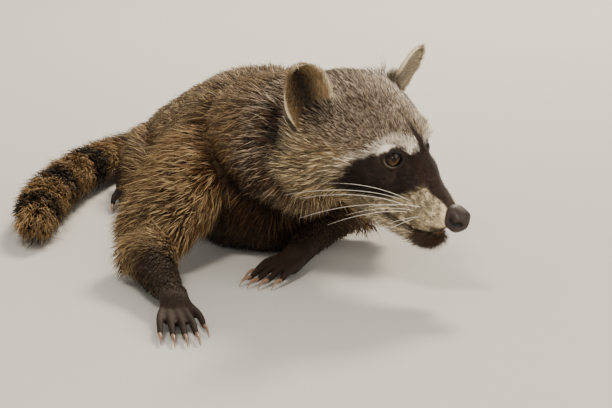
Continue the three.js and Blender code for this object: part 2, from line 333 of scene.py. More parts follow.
@dataclass(frozen=True)
class Limb:
    """A body part lofted through stations.

    lie is +1 where the coat lies from the first station to the last, and -1 the other way. sweep
    is added to the lie at the first station and fades to the share held at the last. bowl hollows the
    section, in millimetres, and square under 1 makes its edge blunt, as in an ear. group names the
    coat pieces that it joins.
    """

    name: str
    stations: tuple[Station, ...]
    pelage: Pelage
    group: str
    lie: float = 1.0
    lead: Place = (0.0, 0.0, 1.0)
    blunt: float = 5.0
    bowl: float = 0.0
    square: float = 1.0
    sweep: Place = (0.0, 0.0, 0.0)
    held: float = 0.0
    place: Array | None = None

    def path(self, t: Array) -> Array:
        """Middle of the part at each share t of its stations, in the row frame."""
        inside = spline(np.array([s.at for s in self.stations], float), t) * MM
        return inside if self.place is None else placed(inside, self.place)

    def heading(self, t: Array) -> Array:
        """Unit direction along the part at each share t."""
        step = 1e-3
        return unit(self.path(np.minimum(t + step, 1.0)) - self.path(np.maximum(t - step, 0.0)))

    def sizes(self, t: Array) -> Array:
        """Half-sizes to the side, up and down at each share t, in metres, to the coat's tips."""
        halves = np.array([(s.side, s.up, s.down) for s in self.stations], float)
        return spline(halves, t) * MM

    def coat(self, t: Array) -> Array:
        """Depth of the coat at each share t, in metres."""
        at = np.linspace(0, 1, len(self.stations))
        return np.interp(t, at, [s.coat for s in self.stations]) * MM

    def frame_at(self, t: Array) -> tuple[Array, Array, Array]:
        """Directions of the part.

        Args:
            t: shares of the way along its stations.

        Returns:
            The unit directions ahead, to the side and up at each share.
        """
        ahead = self.heading(t)
        lead = np.array(self.lead, float)
        if self.place is not None:
            lead = self.place[:3, :3] @ lead
        up = unit(lead - ahead * (ahead @ lead)[:, None])
        return ahead, np.cross(ahead, up), up

    def skin(self, sides: int = 40, rings: int = 48) -> Surface:
        """The part's skin: a rounded bar whose rings are stretched to the stations less the coat.

        At share t the bar's radius is the fifth root of 1 - |2t - 1| to the fifth, or another power
        where blunt says so. A ring's point at angle a lies at side * cos(a) to the side and at
        up * sin(a) above, or down * sin(a) below the path.

        Args:
            sides: corners in a ring.
            rings: lengths from end to end.

        Returns:
            The closed skin, nowhere under the floor.
        """
        thinnest = 0.6 * MM
        i = np.arange(1, rings)
        share = (1 - np.cos(np.pi * i / rings)) / 2
        radius = np.maximum(0, 1 - np.abs(2 * share - 1) ** self.blunt) ** (1 / self.blunt)
        t = np.concatenate([[0.0], share, [1.0]])
        radius = np.concatenate([[0.0], radius, [0.0]])
        angle = np.linspace(0, 2 * np.pi, sides, endpoint=False)
        ahead, across, up = self.frame_at(t)
        coat = self.coat(t)[:, None]
        size = np.maximum(self.sizes(t) - coat, thinnest)
        wide, tall = (np.sign(f) * np.abs(f) ** self.square for f in (np.cos(angle), np.sin(angle)))
        x = wide * radius[:, None] * size[:, :1]
        high = np.where(tall > 0, size[:, 1:2], size[:, 2:3])
        y = tall * radius[:, None] * high - self.bowl * MM * radius[:, None] * (1 - wide**2)
        pull = ((2 * t - 1) ** 3)[:, None] * coat
        middle = self.path(t) - ahead * pull
        rings_at = middle[:, None] + x[..., None] * across[:, None] + y[..., None] * up[:, None]
        verts = np.vstack([rings_at[:1, 0], rings_at[1:-1].reshape(-1, 3), rings_at[-1:, 0]])
        verts[:, 2] = np.maximum(verts[:, 2], FLOOR_CLEARANCE)
        return Surface(verts, *grid_faces(rings - 1, sides))


@dataclass(frozen=True)
class Lump:
    """A rounded swelling of the flesh: an ellipsoid in a local frame, in millimetres."""

    at: Place
    radii: Place
    coat: float
    place: Array

    def skin(self, sides: int = 32, rings: int = 24) -> Surface:
        """Ellipsoid from its angles round and from pole to pole, less the coat's depth.

        Args:
            sides: corners in a ring.
            rings: lengths from pole to pole.

        Returns:
            The closed skin.
        """
        around = np.linspace(0, 2 * np.pi, sides, endpoint=False)
        down = np.pi * np.arange(1, rings) / rings
        x = np.sin(down)[:, None] * np.cos(around)
        y = np.sin(down)[:, None] * np.sin(around)
        z = np.repeat(np.cos(down)[:, None], sides, 1)
        ball = np.stack([x, y, z], -1).reshape(-1, 3)
        ball = np.vstack([[0, 0, 1.0], ball, [0, 0, -1.0]])
        ball = ball * (np.array(self.radii) - self.coat) + np.array(self.at)
        loops, sizes = grid_faces(rings - 1, sides)
        return Surface(placed(ball * MM, self.place), loops, sizes)


class Side(Enum):
    """A side of the animal, with the sign of its Y in the head's frame."""

    LEFT = 1
    RIGHT = -1

    @property
    def word(self) -> str:
        """The side's name in lower case."""
        return self.name.lower()


# The head's frame has +X to the nose and +Z to the crown, and its tables are in millimetres.
HEAD = turned(-39, 18, 3, np.array([33.5, -104, 92]) * MM)

LONG = Pelage(length=22, width=0.78, rise=5.2, density=68, fall=0.35, gather=0.42)
RUFF = Pelage(length=17, width=0.72, rise=5.2, density=85, fall=0.3, gather=0.4)
ARM = Pelage(length=21, width=0.78, rise=5.5, density=76, fall=0.25, gather=0.5)
SHORT = Pelage(length=9, width=0.8, rise=2.6, density=90, fall=0.1, gather=0.25)
PAW = Pelage(length=4.2, width=0.5, rise=0.7, density=240, fall=0.0, gather=0.1)
TOE = replace(PAW, length=3.2, rise=0.4)
FACE = Pelage(length=9, width=0.6, rise=2.6, density=140, fall=0.1, gather=0.15)
EAR = Pelage(length=4.0, width=0.5, rise=1.0, density=560, fall=0.0, gather=0.1)
BRUSH = Pelage(length=23, width=0.9, rise=8.5, density=85, fall=0.05, gather=0.3)

TRUNK = stations(
    (-16, -58, 66, 34, 32, 28, 5),
    (-20, -36, 62, 52, 48, 56, 6.5),
    (-26, 2, 60, 62, 62, 78, 6.5),
    (-36, 52, 57, 62, 56, 76, 6.5),
    (-46, 104, 50, 62, 48, 66, 6.5),
    (-56, 154, 43, 62, 40, 57, 7),
    (-66, 198, 37, 59, 34, 48, 7),
    (-76, 234, 31, 48, 28, 38, 8),
    (-83, 260, 26, 24, 17, 22, 8),
)
NECK = stations(
    (-30, 8, 78, 40, 36, 40, 6),
    (-20, -28, 84, 47, 40, 44, 6),
    (-6, -62, 88, 48, 40, 50, 5.5),
    (14, -88, 92, 44, 38, 50, 5),
)
SKULL = stations(
    (-44, 0, 2, 30, 28, 26, 2.5),
    (-30, 0, 3, 44, 35, 36, 2),
    (-8, 0, 4, 47, 36, 38, 1.2),
    (14, 0, 2, 41, 33, 35, 1.2),
    (30, 0, 0, 30, 28, 31, 1.2),
    (44, 0, -4, 19, 19.5, 27, 1.2),
    (58, 0, -9, 14.5, 12.5, 24, 1.2),
    (72, 0, -13, 13, 9, 16, 0.9),
    (83, 0, -16, 10.5, 7.5, 9, 0.7),
)
JAW = stations(
    (-4, 0, -26, 26, 14, 14, 5),
    (20, 0, -30, 21, 12, 12, 3),
    (46, 0, -34, 13.5, 8, 8, 1.5),
    (64, 0, -35, 10.5, 6, 7, 1.0),
    (77, 0, -31.5, 7, 5, 5.5, 0.8),
)
NOSE_PAD = stations(
    (74, 0, -12, 6, 5, 6, 0),
    (80, 0, -13, 8, 7, 9, 0),
    (86.5, 0, -14.5, 8.3, 6.8, 8.8, 0),
    (91.5, 0, -15.5, 6, 4.8, 6, 0),
)
EAR_LEAF = stations(
    (-1, 0, -8, 11, 3.4, 3.4, 1.0),
    (0, 0, 6, 15.2, 3.0, 3.0, 1.0),
    (1, 0.8, 20, 17.4, 2.2, 2.2, 0.8),
    (1, 2.4, 32, 15.4, 1.9, 1.9, 0.8),
    (1, 4.2, 40, 11.2, 1.7, 1.7, 0.7),
    (1, 5.4, 45, 6.5, 1.5, 1.5, 0.5),
)
EAR_ROOT = (-11.0, 36.0, 13.0)
EAR_FACING = (0.95, 0.3, -0.05)
TAIL = stations(
    (-84, 240, 22, 17, 17, 22, 8),
    (-108, 242, 19, 17, 17, 22, 8),
    (-138, 222, 16, 17, 17, 19, 9),
    (-162, 172, 16, 18, 18, 19, 9),
    (-176, 112, 16, 18.5, 18, 19, 9),
    (-183, 58, 16, 18.5, 18, 19, 9),
    (-184, 12, 15, 17, 16, 18, 9),
    (-182, -22, 12, 10, 10, 14, 7),
)
TAIL_RINGS = (0.24, 0.42, 0.60, 0.79, 0.965)
TRUNK_TURN = math.radians(12)
TRUNK_X = -27


@dataclass(frozen=True)
class EarLook:
    """What one ear has of its own.

    tip is its place in the head's frame and bowl how hollow it is, in millimetres. root_hair is how
    high the long hair of its root reaches, fringe how much of it edges the front, and pale how far
    its tones are drawn to the rim's.
    """

    tip: Place
    bowl: float
    root_hair: float
    fringe: float
    pale: float


EARS = {
    Side.LEFT: EarLook((-15.0, 64.0, 45.0), bowl=3.5, root_hair=18, fringe=1.0, pale=0.8),
    Side.RIGHT: EarLook((-19.0, 50.0, 53.5), bowl=6.5, root_hair=14, fringe=0.0, pale=0.0),
}


def ear_frame(side: Side) -> Array:
    """Frame of an ear in the row frame.

    Args:
        side: the ear's side.

    Returns:
        A 4 by 4 array with +Z from the ear's root to its tip and +X the way it opens.
    """
    flip = np.array([1.0, side.value, 1.0])
    root = np.array(EAR_ROOT) * flip
    up = unit(np.array(EARS[side].tip) * flip - root)
    facing = np.array(EAR_FACING) * flip
    facing = unit(facing - up * (facing @ up))
    inner = np.eye(4)
    inner[:3] = np.stack([facing, np.cross(up, facing), up, root * MM], 1)
    return HEAD @ inner


def beside(along: float, out: float, up: float, side: Side) -> Place:
    """Place beside the trunk, in millimetres.

    Args:
        along: how far towards the rump.
        out: how far out to the side.
        up: how high over the floor.
        side: which side.

    Returns:
        The place in the row frame.
    """
    across = out * side.value
    x = TRUNK_X - math.sin(TRUNK_TURN) * along + math.cos(TRUNK_TURN) * across
    y = math.cos(TRUNK_TURN) * along + math.sin(TRUNK_TURN) * across
    return (x, y, up)


@dataclass(frozen=True)
class Paw:
    """A paw in its own frame, +X to the toes, in millimetres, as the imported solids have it.

    palm and width size its palm, toe its longest toe and drop its height at the wrist. spread fans
    the toes out, first is the inner toe's share of the longest, and free is the share of the palm
    that carries the toes' roots.
    """

    name: str
    side: Side
    wrist: Place
    toes: Place
    palm: float = 33
    width: float = 25
    toe: float = 26
    drop: float = 14
    spread: float = 0.32
    first: float = 0.72
    free: float = 0.74
    voxel: float = 1.0
    claw_radii: Table = Table((0, 0.4, 1), (1.15, 0.95, 0.22))

    @property
    def place(self) -> Array:
        """Frame of the paw at its wrist or heel, turned to its toes."""
        ahead, aside = self.toes[0] - self.wrist[0], self.toes[1] - self.wrist[1]
        return turned(math.degrees(math.atan2(aside, ahead)), 0, 0, np.array(self.wrist) * MM)

    def toe_lines(self) -> list[tuple[Place, ...]]:
        """Middle lines of the toes.

        Returns:
            Root in the palm, first joint, knuckle and tip of each toe, the inner one first.
        """
        low = 4 - self.drop
        lines = []
        for i, share in enumerate((self.first, 0.92, 1.0, 0.96, 0.78)):
            across = self.side.value * -self.width * (0.42 - i * 0.21)
            end = self.palm * (0.62 if i == 0 else 0.95) + self.toe * share
            start = self.palm * self.free * (0.6 if i == 0 else 1.0)
            lines.append((
                (start - self.palm * 0.35, across * 0.6, low + self.drop * 0.45),
                (start, across * 0.95, low + 4.4),
                (start + (end - start) * 0.55, across * (1 + self.spread * 0.6), low + 3.6),
                (end, across * (1 + self.spread), low - 0.5),
            ))
        return lines

    def limbs(self) -> list[Limb]:
        """The palm and then the toes, each a part of its own until they are fused.

        Returns:
            The limbs of the paw.
        """
        low = 4 - self.drop
        w = self.width
        palm = (
            Station((-11, 0, 1.5), w * 0.38, 8.6, 10, 1.6),
            Station((self.palm * 0.35, 0, -1.5), w * 0.42, 6.5, self.drop - 2, 1.4),
            Station((self.palm * self.free * 0.95, 0, low + 2), w * 0.45, 4.8, 7, 1.4),
            Station((self.palm * (self.free + 0.12), 0, low + 1), w * 0.38, 2.6, 4.5, 1.2),
        )
        made = [Limb(self.name, palm, PAW, "paws", place=self.place)]
        thick = ((3.2, 3.0), (3.1, 3.3), (2.7, 2.9), (2.4, 2.3))
        for i, line in enumerate(self.toe_lines()):
            toe = tuple(Station(at, s, h, h, 0.5) for at, (s, h) in zip(line, thick))
            made.append(Limb(f"{self.name}_toe_{i + 1}", toe, TOE, "paws", place=self.place))
        return made

    def claws(self) -> Surface:
        """All its claws, each a tapered bar from inside the toe to its point, bent down.

        Returns:
            The claws as one surface, above the floor.
        """
        lowest = 0.9 * MM
        share = np.linspace(0, 1, 9)
        radii = self.claw_radii(share) * MM
        made = []
        for *_, (x, y, z) in self.toe_lines():
            line = ((x - 2, y, z + 0.8), (x + 3, y * 1.02, z + 1.4), (x + 7, y * 1.05, z + 0.2),
                    (x + 10, y * 1.06, z - 2.6))
            points = placed(spline(np.array(line), share) * MM, self.place)
            points[:, 2] = np.maximum(points[:, 2], lowest)
            made.append(bar(points, radii, 10, 1.15))
        return all_joined(made)


PAWS = (
    Paw("hand_right", Side.RIGHT, (-80, -184, 14), (-66, -258, 0)),
    Paw("hand_left", Side.LEFT, (0, -66, 14), (-42, -130, 0)),
    Paw("foot_right", Side.RIGHT, beside(182, 70, 13, Side.RIGHT), beside(100, 76, 0, Side.RIGHT),
        palm=56, width=27, toe=20, drop=13, first=0.8, free=0.88, voxel=1.4),
    Paw("foot_left", Side.LEFT, beside(182, 70, 13, Side.LEFT), beside(100, 76, 0, Side.LEFT),
        palm=56, width=27, toe=20, drop=13, first=0.8, free=0.88, voxel=1.4),
)
ARMS = {
    Side.RIGHT: ((-56, -6, 66), (-82, -52, 46), (-102, -94, 24), (-92, -138, 17), (-80, -184, 14)),
    Side.LEFT: ((22, -22, 62), (30, 0, 46), (30, 20, 26), (16, -22, 20), (0, -66, 14)),
}


def arm_limbs(side: Side) -> list[Limb]:
    """Upper arm and forearm.

    Args:
        side: which side.

    Returns:
        The two limbs, from the shoulder down.
    """
    shoulder, above, elbow, lower, wrist = ARMS[side]
    upper = (
        Station(shoulder, 34, 34, 34, 6.5),
        Station(above, 29, 27, 27, 5.5),
        Station(elbow, 26, 20, 23, 5.5),
    )
    fore = (
        Station(elbow, 24, 18, 23, 5.5),
        Station(lower, 15, 13, 16, 3),
        Station(wrist, 10.5, 9, 12, 1.8),
    )
    return [
        Limb(f"upper_arm_{side.word}", upper, ARM, "forelegs",
             sweep=(side.value * 0.8, 0.85, 0.1), held=0.7),
        Limb(f"forearm_{side.word}", fore, SHORT, "forelegs",
             sweep=(side.value * 1.4, 0.9, -0.5)),
    ]


def leg_limbs(side: Side) -> list[Limb]:
    """Thigh and shank.

    Args:
        side: which side.

    Returns:
        The two limbs, from the hip down.
    """
    thigh = (
        Station(beside(205, 38, 34, side), 24, 28, 34, 9),
        Station(beside(176, 50, 28, side), 24, 29, 30, 9),
        Station(beside(142, 57, 22, side), 20, 23, 26, 8),
        Station(beside(114, 60, 18, side), 14, 15, 20, 6),
    )
    shank = (
        Station(beside(118, 64, 16, side), 12, 13, 18, 4),
        Station(beside(156, 68, 14, side), 12, 13, 16, 3.5),
        Station(beside(194, 66, 13, side), 10, 11, 14, 3),
    )
    return [
        Limb(f"thigh_{side.word}", thigh, replace(ARM, rise=4, fall=0.5), "hind_legs", lie=0.0,
             sweep=(-0.2 + side.value * 0.2, 1.0, -0.2), held=1.0),
        Limb(f"shank_{side.word}", shank, SHORT, "hind_legs"),
    ]


def body_limbs() -> list[Limb]:
    """Every limb of the animal.

    Returns:
        The limbs, trunk first and paws last.
    """
    made = [
        Limb("trunk", TRUNK, LONG, "trunk"),
        Limb("neck", NECK, RUFF, "neck", lie=-1.0),
        Limb("head", SKULL, FACE, "head", lie=-1.0, place=HEAD),
        Limb("jaw", JAW, FACE, "head", lie=-1.0, place=HEAD),
        Limb("tail", TAIL, BRUSH, "tail"),
    ]
    for side in Side:
        made += arm_limbs(side) + leg_limbs(side)
        leaf = tuple(replace(s, at=(s.at[0], s.at[1] * side.value, s.at[2])) for s in EAR_LEAF)
        made.append(Limb(f"ear_{side.word}", leaf, EAR, "ears", lead=(1, 0, 0), blunt=3.0,
                         bowl=EARS[side].bowl, square=0.75, place=ear_frame(side)))
    for paw in PAWS:
        made += paw.limbs()
    return made


def body_lumps() -> list[Lump]:
    """Swellings of the head: throat, then a cheek, a brow and a lip pad on each side.

    Returns:
        The lumps.
    """
    made = [Lump((2, 0, -22), (32, 27, 20), 6, HEAD)]
    for side in Side:
        made.append(Lump((-14, side.value * 31, -15), (29, 18, 23), 6, HEAD))
        made.append(Lump((28, side.value * 17, 15.8), (14.5, 14, 8.7), 1.6, HEAD))
        made.append(Lump((65, side.value * 6.5, -20), (15, 8.2, 9.5), 0.8, HEAD))
    return made


# ---- the skin


def fused(surfaces: Iterable[Surface], voxel: float) -> Surface:
    """One closed surface over all the given ones, by a voxel remesh.

    Args:
        surfaces: closed surfaces that overlap.
        voxel: size of the voxels, in metres.

    Returns:
        A surface of quads.
    """
    mesh = all_joined(surfaces).mesh("fusing")
    lump = bpy.data.objects.new("fusing", mesh)
    bpy.context.scene.collection.objects.link(lump)
    remesh = lump.modifiers.new("fuse", "REMESH")
    remesh.mode = "VOXEL"
    remesh.voxel_size = voxel
    remesh.adaptivity = 0.0
    done = lump.evaluated_get(bpy.context.evaluated_depsgraph_get()).to_mesh()
    verts = np.empty(len(done.vertices) * 3, np.float32)
    done.vertices.foreach_get("co", verts)
    loops = np.empty(len(done.loops), np.int32)
    done.loops.foreach_get("vertex_index", loops)
    sizes = np.empty(len(done.polygons), np.int32)
    done.polygons.foreach_get("loop_total", sizes)
    bpy.data.objects.remove(lump)
    bpy.data.meshes.remove(mesh)
    corners = verts.reshape(-1, 3).astype(float)
    return Surface(corners, loops.astype(np.int64), sizes.astype(np.int64))


def edges_of(quads: Array) -> Array:
    """Each edge of the quads once, as two corners with the lower first."""
    pairs = np.concatenate([quads[:, [i, (i + 1) % 4]] for i in range(4)])
    return np.unique(np.sort(pairs, 1), axis=0)


def relaxed(values: Array, edges: Array, rounds: int, share: float = 0.5) -> Array:
    """Values at corners drawn towards the mean of their neighbours, several times over.

    Args:
        values: one row for each corner.
        edges: the edges between corners.
        rounds: how many times.
        share: how far each time.

    Returns:
        The new values.
    """
    count = len(values)
    degree = np.bincount(edges.ravel(), minlength=count)[:, None]
    for _ in range(rounds):
        total = np.stack([
            np.bincount(edges[:, 0], values[edges[:, 1], k], count)
            + np.bincount(edges[:, 1], values[edges[:, 0], k], count)
            for k in range(values.shape[1])
        ], 1)
        values = values + share * (total / np.maximum(degree, 1) - values)
    return values


def refined(verts: Array, quads: Array, chosen: Array) -> tuple[Array, Array]:
    """The chosen quads split in four, and their neighbours fitted to them by triangles kept as quads.

    A neighbour with split edges becomes a fan of triangles round its middle.

    Args:
        verts: the corners.
        quads: the faces, the last corner repeated in a triangle.
        chosen: which faces are split.

    Returns:
        The corners, and the faces as four corners each, the last one repeated in a triangle.
    """
    real = quads[:, 2] != quads[:, 3]
    chosen = chosen & real
    rims = np.stack([quads, np.roll(quads, -1, 1)], -1)
    low, high = rims.min(-1).astype(np.int64), rims.max(-1).astype(np.int64)
    keys = low * len(verts) + high
    split = np.unique(keys[chosen])
    middles = (verts[split // len(verts)] + verts[split % len(verts)]) / 2
    found = np.minimum(np.searchsorted(split, keys), len(split) - 1)
    cut = split[found] == keys
    cut[~real] = cut[~real] & (low[~real] != high[~real])
    place = found + len(verts)
    base = len(verts) + len(split)
    touched = ~chosen & cut.any(1)
    centres = verts[quads[chosen]].mean(1)
    fans = verts[quads[touched]].mean(1)
    centre = base + np.arange(len(centres))
    fan = base + len(centres) + np.arange(len(fans))
    q, m = quads[chosen], place[chosen]
    new = [np.stack([q[:, i], m[:, i], centre, m[:, i - 1]], 1) for i in range(4)]
    q, m, c = quads[touched], place[touched], cut[touched]
    for i in range(4):
        a, b, edge = q[:, i], q[:, (i + 1) % 4], c[:, i]
        whole = ~edge & (a != b)
        new.append(np.stack([a, b, fan, fan], 1)[whole])
        new.append(np.stack([a, m[:, i], fan, fan], 1)[edge])
        new.append(np.stack([m[:, i], b, fan, fan], 1)[edge])
    kept = quads[~chosen & ~touched]
    return np.vstack([verts, middles, centres, fans]), np.vstack([kept, *new])


def normals_of(verts: Array, quads: Array) -> Array:
    """Unit normals at the corners: the sums of half the cross products of the faces' diagonals.

    Args:
        verts: the corners.
        quads: the faces.

    Returns:
        One unit direction for each corner.
    """
    a, b, c, d = (verts[quads[:, i]] for i in range(4))
    across = np.cross(c - a, d - b) / 2
    total = np.zeros_like(verts)
    for k in range(3):
        for i in range(4):
            total[:, k] += np.bincount(quads[:, i], across[:, k], len(verts))
    return unit(total)


@dataclass
class Lie:
    """What the coat follows at each corner of the skin.

    nearest is the limb that each corner belongs to, share how far along it and turn how far round
    it, both from 0 to 1. flow is the unit direction in which the coat lies.
    """

    nearest: Array
    share: Array
    turn: Array
    flow: Array


def lie_of_coat(verts: Array, normals: Array, edges: Array, limbs: list[Limb]) -> Lie:
    """Which limb each corner of the skin belongs to, and the direction of its hair.

    A corner's distance from a limb is measured in the limb's own half-sizes. The headings of the
    limbs are blended by the exponential of minus seven times that distance, a downhill part is
    added, and the sum is laid in the skin and relaxed over its neighbours.

    Args:
        verts: corners of the skin.
        normals: their unit normals.
        edges: the skin's edges.
        limbs: the limbs in the order that nearest counts them.

    Returns:
        The lie of the coat.
    """
    least_half, parting, softening = 1.5 * MM, 7.0, 12
    shares = np.linspace(0, 1, 33)
    far, at, turn, way = [], [], [], []
    for limb in limbs:
        path = limb.path(shares)
        square = (verts**2).sum(1)[:, None] + (path**2).sum(1) - 2 * verts @ path.T
        near = square.argmin(1)
        offset = verts - path[near]
        ahead, across, up = limb.frame_at(shares)
        sizes = limb.sizes(shares)[near] - limb.coat(shares)[near][:, None] * 0.7
        sizes = np.maximum(sizes, least_half)
        x = (offset * across[near]).sum(1) / sizes[:, 0]
        y = (offset * up[near]).sum(1) + limb.bowl * MM * (1 - np.clip(x, -1, 1) ** 2)
        y = y / np.maximum(np.where(y > 0, sizes[:, 1], sizes[:, 2]), limb.bowl * 0.6 * MM)
        z = (offset * ahead[near]).sum(1) / sizes[:, 0]
        far.append(np.sqrt(x**2 + y**2 + z**2) - 0.05 * limb.bowl)
        at.append(shares[near])
        turn.append(np.arctan2(y, x) / (2 * np.pi) % 1.0)
        downhill = np.array([0, 0, -1.0]) + normals * normals[:, 2:]
        steep = np.linalg.norm(downhill, axis=1, keepdims=True)
        fade = (1 - (1 - limb.held) * shares[near])[:, None] * np.array(limb.sweep)
        way.append(ahead[near] * limb.lie + fade + limb.pelage.fall * downhill / (steep + 0.15))
    far = np.array(far)
    nearest = far.argmin(0)
    weight = np.exp(-parting * (far - far.min(0)))
    flow = np.einsum("lv,lvk->vk", weight, np.array(way))
    flow = unit(flow - normals * (flow * normals).sum(1, keepdims=True))
    flow = relaxed(flow, edges, softening)
    flow = unit(flow - normals * (flow * normals).sum(1, keepdims=True))
    pick = np.arange(len(verts))
    return Lie(nearest, np.array(at)[nearest, pick], np.array(turn)[nearest, pick], flow)


# ---- markings


class Coats:
    """Linear colours of the coat and the bare skin."""

    root = tone("#2b1b0e")
    mid = tone("#71502f")
    tan = tone("#ab8656")
    pale = tone("#e3c592")
    grey = tone("#604e36")
    black = tone("#150e09")
    mask = tone("#2d2018")
    white = tone("#fbf1df")
    muzzle = tone("#f6e0b8")
    bridge = tone("#33241a")
    chin = tone("#5a3e28")
    rim = tone("#f6e3bf")
    inner = tone("#4a3220")
    paw = tone("#20130a")
    paw_tip = tone("#463018")
    ring = tone("#1f150c")
    rust = tone("#7c5129")
    crown = tone("#6b4b33")
    crown_low = tone("#251810")
    crown_high = tone("#ffe8c8")
    lip = tone("#26100b")
    leaf = tone("#a3865e")


def plain(colour: Array, count: int) -> Array:
    """One colour repeated, one a row."""
    return np.repeat(colour[None], count, 0)


def mixed(base: Array, other: Array, share: Array) -> Array:
    """Colours drawn towards another, or towards one each, by a share held between 0 and 1."""
    return base + (other - base) * np.clip(share, 0, 1)[:, None]


def turn_of(spots: Array) -> Array:
    """Turn of places in the head's frame from the top of the head, about an axis under the head's."""
    axis_under = 10
    return np.degrees(np.arctan2(np.abs(spots[:, 1]), spots[:, 2] + axis_under))


@dataclass(frozen=True)
class Markings:
    """How far places are in each marking of the face, from 0 to 1."""

    mask: Array
    brow: Array
    stripe: Array
    seam: Array
    muzzle: Array
    jaw: Array
    chin: Array
    mouth: Array
    dots: Array


@dataclass(frozen=True)
class FaceMap:
    """Edges of the face's markings in the head's frame, in millimetres and degrees.

    A place on the face has x towards the nose and a turn from the top of the head, 0 on the
    midline above, 90 at the side and 180 below. The brow and the mask begin at an x for each turn,
    the mask ends below at a turn for each x, the stripe has a half-width and the lips a height for
    each x. swept is how far the hair carries a marking back from its roots. A pair holds where a
    marking begins to show or to fade, and where it is whole or gone.
    """

    brow: Table = Table((0, 4, 10, 20.5, 32, 40.5, 57.5, 65.6, 76.5, 85.3, 100),
                        (42, 41, 38.8, 35.6, 31.8, 29, 23, 17.8, 9.5, 4, -6))
    mask: Table = Table((0, 11.7, 20.7, 27.3, 36.7, 45.4, 53, 60.2, 71.3, 86, 100),
                        (46, 44.5, 40, 35.6, 34, 31.8, 27.8, 24, 20.4, 16, 11))
    mask_low: Table = Table((14, 17.3, 24.8, 33.9, 42.6, 52, 57.7, 61, 62, 63),
                            (96, 108, 115, 122, 117, 96, 73, 48, 19, 0))
    stripe: Table = Table((20, 25, 36, 45, 58, 62, 66, 74, 84),
                          (0.0, 0.7, 1.3, 2.8, 6, 8, 8, 5, 5))
    lips: Table = Table((36, 44, 51, 60, 70, 79, 84), (-30, -30.5, -31.5, -32, -28.8, -24.4, -23))
    swept: float = 3.2
    mask_starts: Pair = (12, 17)
    brow_ends_below: Pair = (92, 106)
    brow_ends_ahead: Pair = (48, 54)
    stripe_starts: Pair = (22, 27)
    stripe_ends_below: Pair = (80, 95)
    seam_starts: Pair = (42, 50)
    seam_ends: Pair = (60, 68)
    muzzle_starts: Pair = (46, 56)
    jowl_turn: Pair = (100, 112)
    jowl_starts: Pair = (10, 30)
    jaw_starts: Pair = (22, 34)
    chin_starts: Pair = (56, 64)
    mouth_starts: Pair = (35, 40)
    mouth_ends: Pair = (82, 85)
    mouth_corner: float = 43
    whisker_dots: tuple[Pair, ...] = (
        (58, -11.5), (70, -4.5), (68, -11), (62, -16.5), (74, -10))
    dot_radius: float = 1.1

    def mouth(self, spots: Array) -> Array:
        """How deep places are in the line of the mouth, which widens at its corner.

        Args:
            spots: places in the head's frame, in millimetres.

        Returns:
            A share for each, from 0 to 1.
        """
        x, _, z = spots.T
        wide = 0.9 + 0.9 * np.exp(-(((x - self.mouth_corner) / 5) ** 2))
        line = np.exp(-(((z - self.lips(x)) / wide) ** 2))
        return line * smooth(*self.mouth_starts, x) * (1 - smooth(*self.mouth_ends, x))

    def dots(self, spots: Array) -> Array:
        """How far places are in the dark dots of the lips.

        Args:
            spots: places in the head's frame, in millimetres.

        Returns:
            A share for each, from 0 to 1.
        """
        found = np.zeros(len(spots))
        beside_bridge = smooth(5, 8, np.abs(spots[:, 1]))
        for at in self.whisker_dots:
            off = (spots[:, [0, 2]] - at) / self.dot_radius
            found = np.maximum(found, np.exp(-(off**2).sum(1)) * beside_bridge)
        return found

    def markings(self, spots: Array) -> Markings:
        """How far places are in each marking.

        Args:
            spots: places in the head's frame, in millimetres.

        Returns:
            The shares of all markings.
        """
        x, y, z = spots[:, 0], np.abs(spots[:, 1]), spots[:, 2]
        ragged = 0.7 * waves(spots, 5.0, SEED + 3)
        turn = turn_of(spots)
        back = self.brow(turn) + self.swept + ragged
        front = self.mask(turn) + 0.8 * self.swept + ragged
        low = self.mask_low(x) + 2 * ragged
        mask = smooth(-1.2, 1.2, x - front) * smooth(-5, 5, low - turn)
        mask = mask * smooth(*self.mask_starts, x)
        brow = smooth(-1.8, 1.8, x - back) * (1 - mask)
        brow = brow * (1 - smooth(*self.brow_ends_below, turn))
        brow = brow * (1 - smooth(*self.brow_ends_ahead, x))
        half = self.stripe(x) + 0.3 * ragged
        stripe = (1 - smooth(-1.0, 1.0, y - half)) * (1 - smooth(*self.stripe_ends_below, turn))
        seam = np.exp(-(((y - half - 2.4) / 2.2) ** 2))
        seam = seam * smooth(*self.seam_starts, x) * (1 - smooth(*self.seam_ends, x))
        muzzle = smooth(*self.muzzle_starts, x) * (1 - mask)
        jowl = smooth(*self.jowl_turn, turn) * smooth(*self.jowl_starts, x) * (1 - mask)
        below = 1 - smooth(-1.5, 0.5, z - self.lips(x))
        stripe = stripe * smooth(*self.stripe_starts, x)
        jaw, chin = below * smooth(*self.jaw_starts, x), below * smooth(*self.chin_starts, x)
        return Markings(mask, brow, stripe, seam, np.maximum(muzzle, jowl), jaw, chin,
                        self.mouth(spots), self.dots(spots))


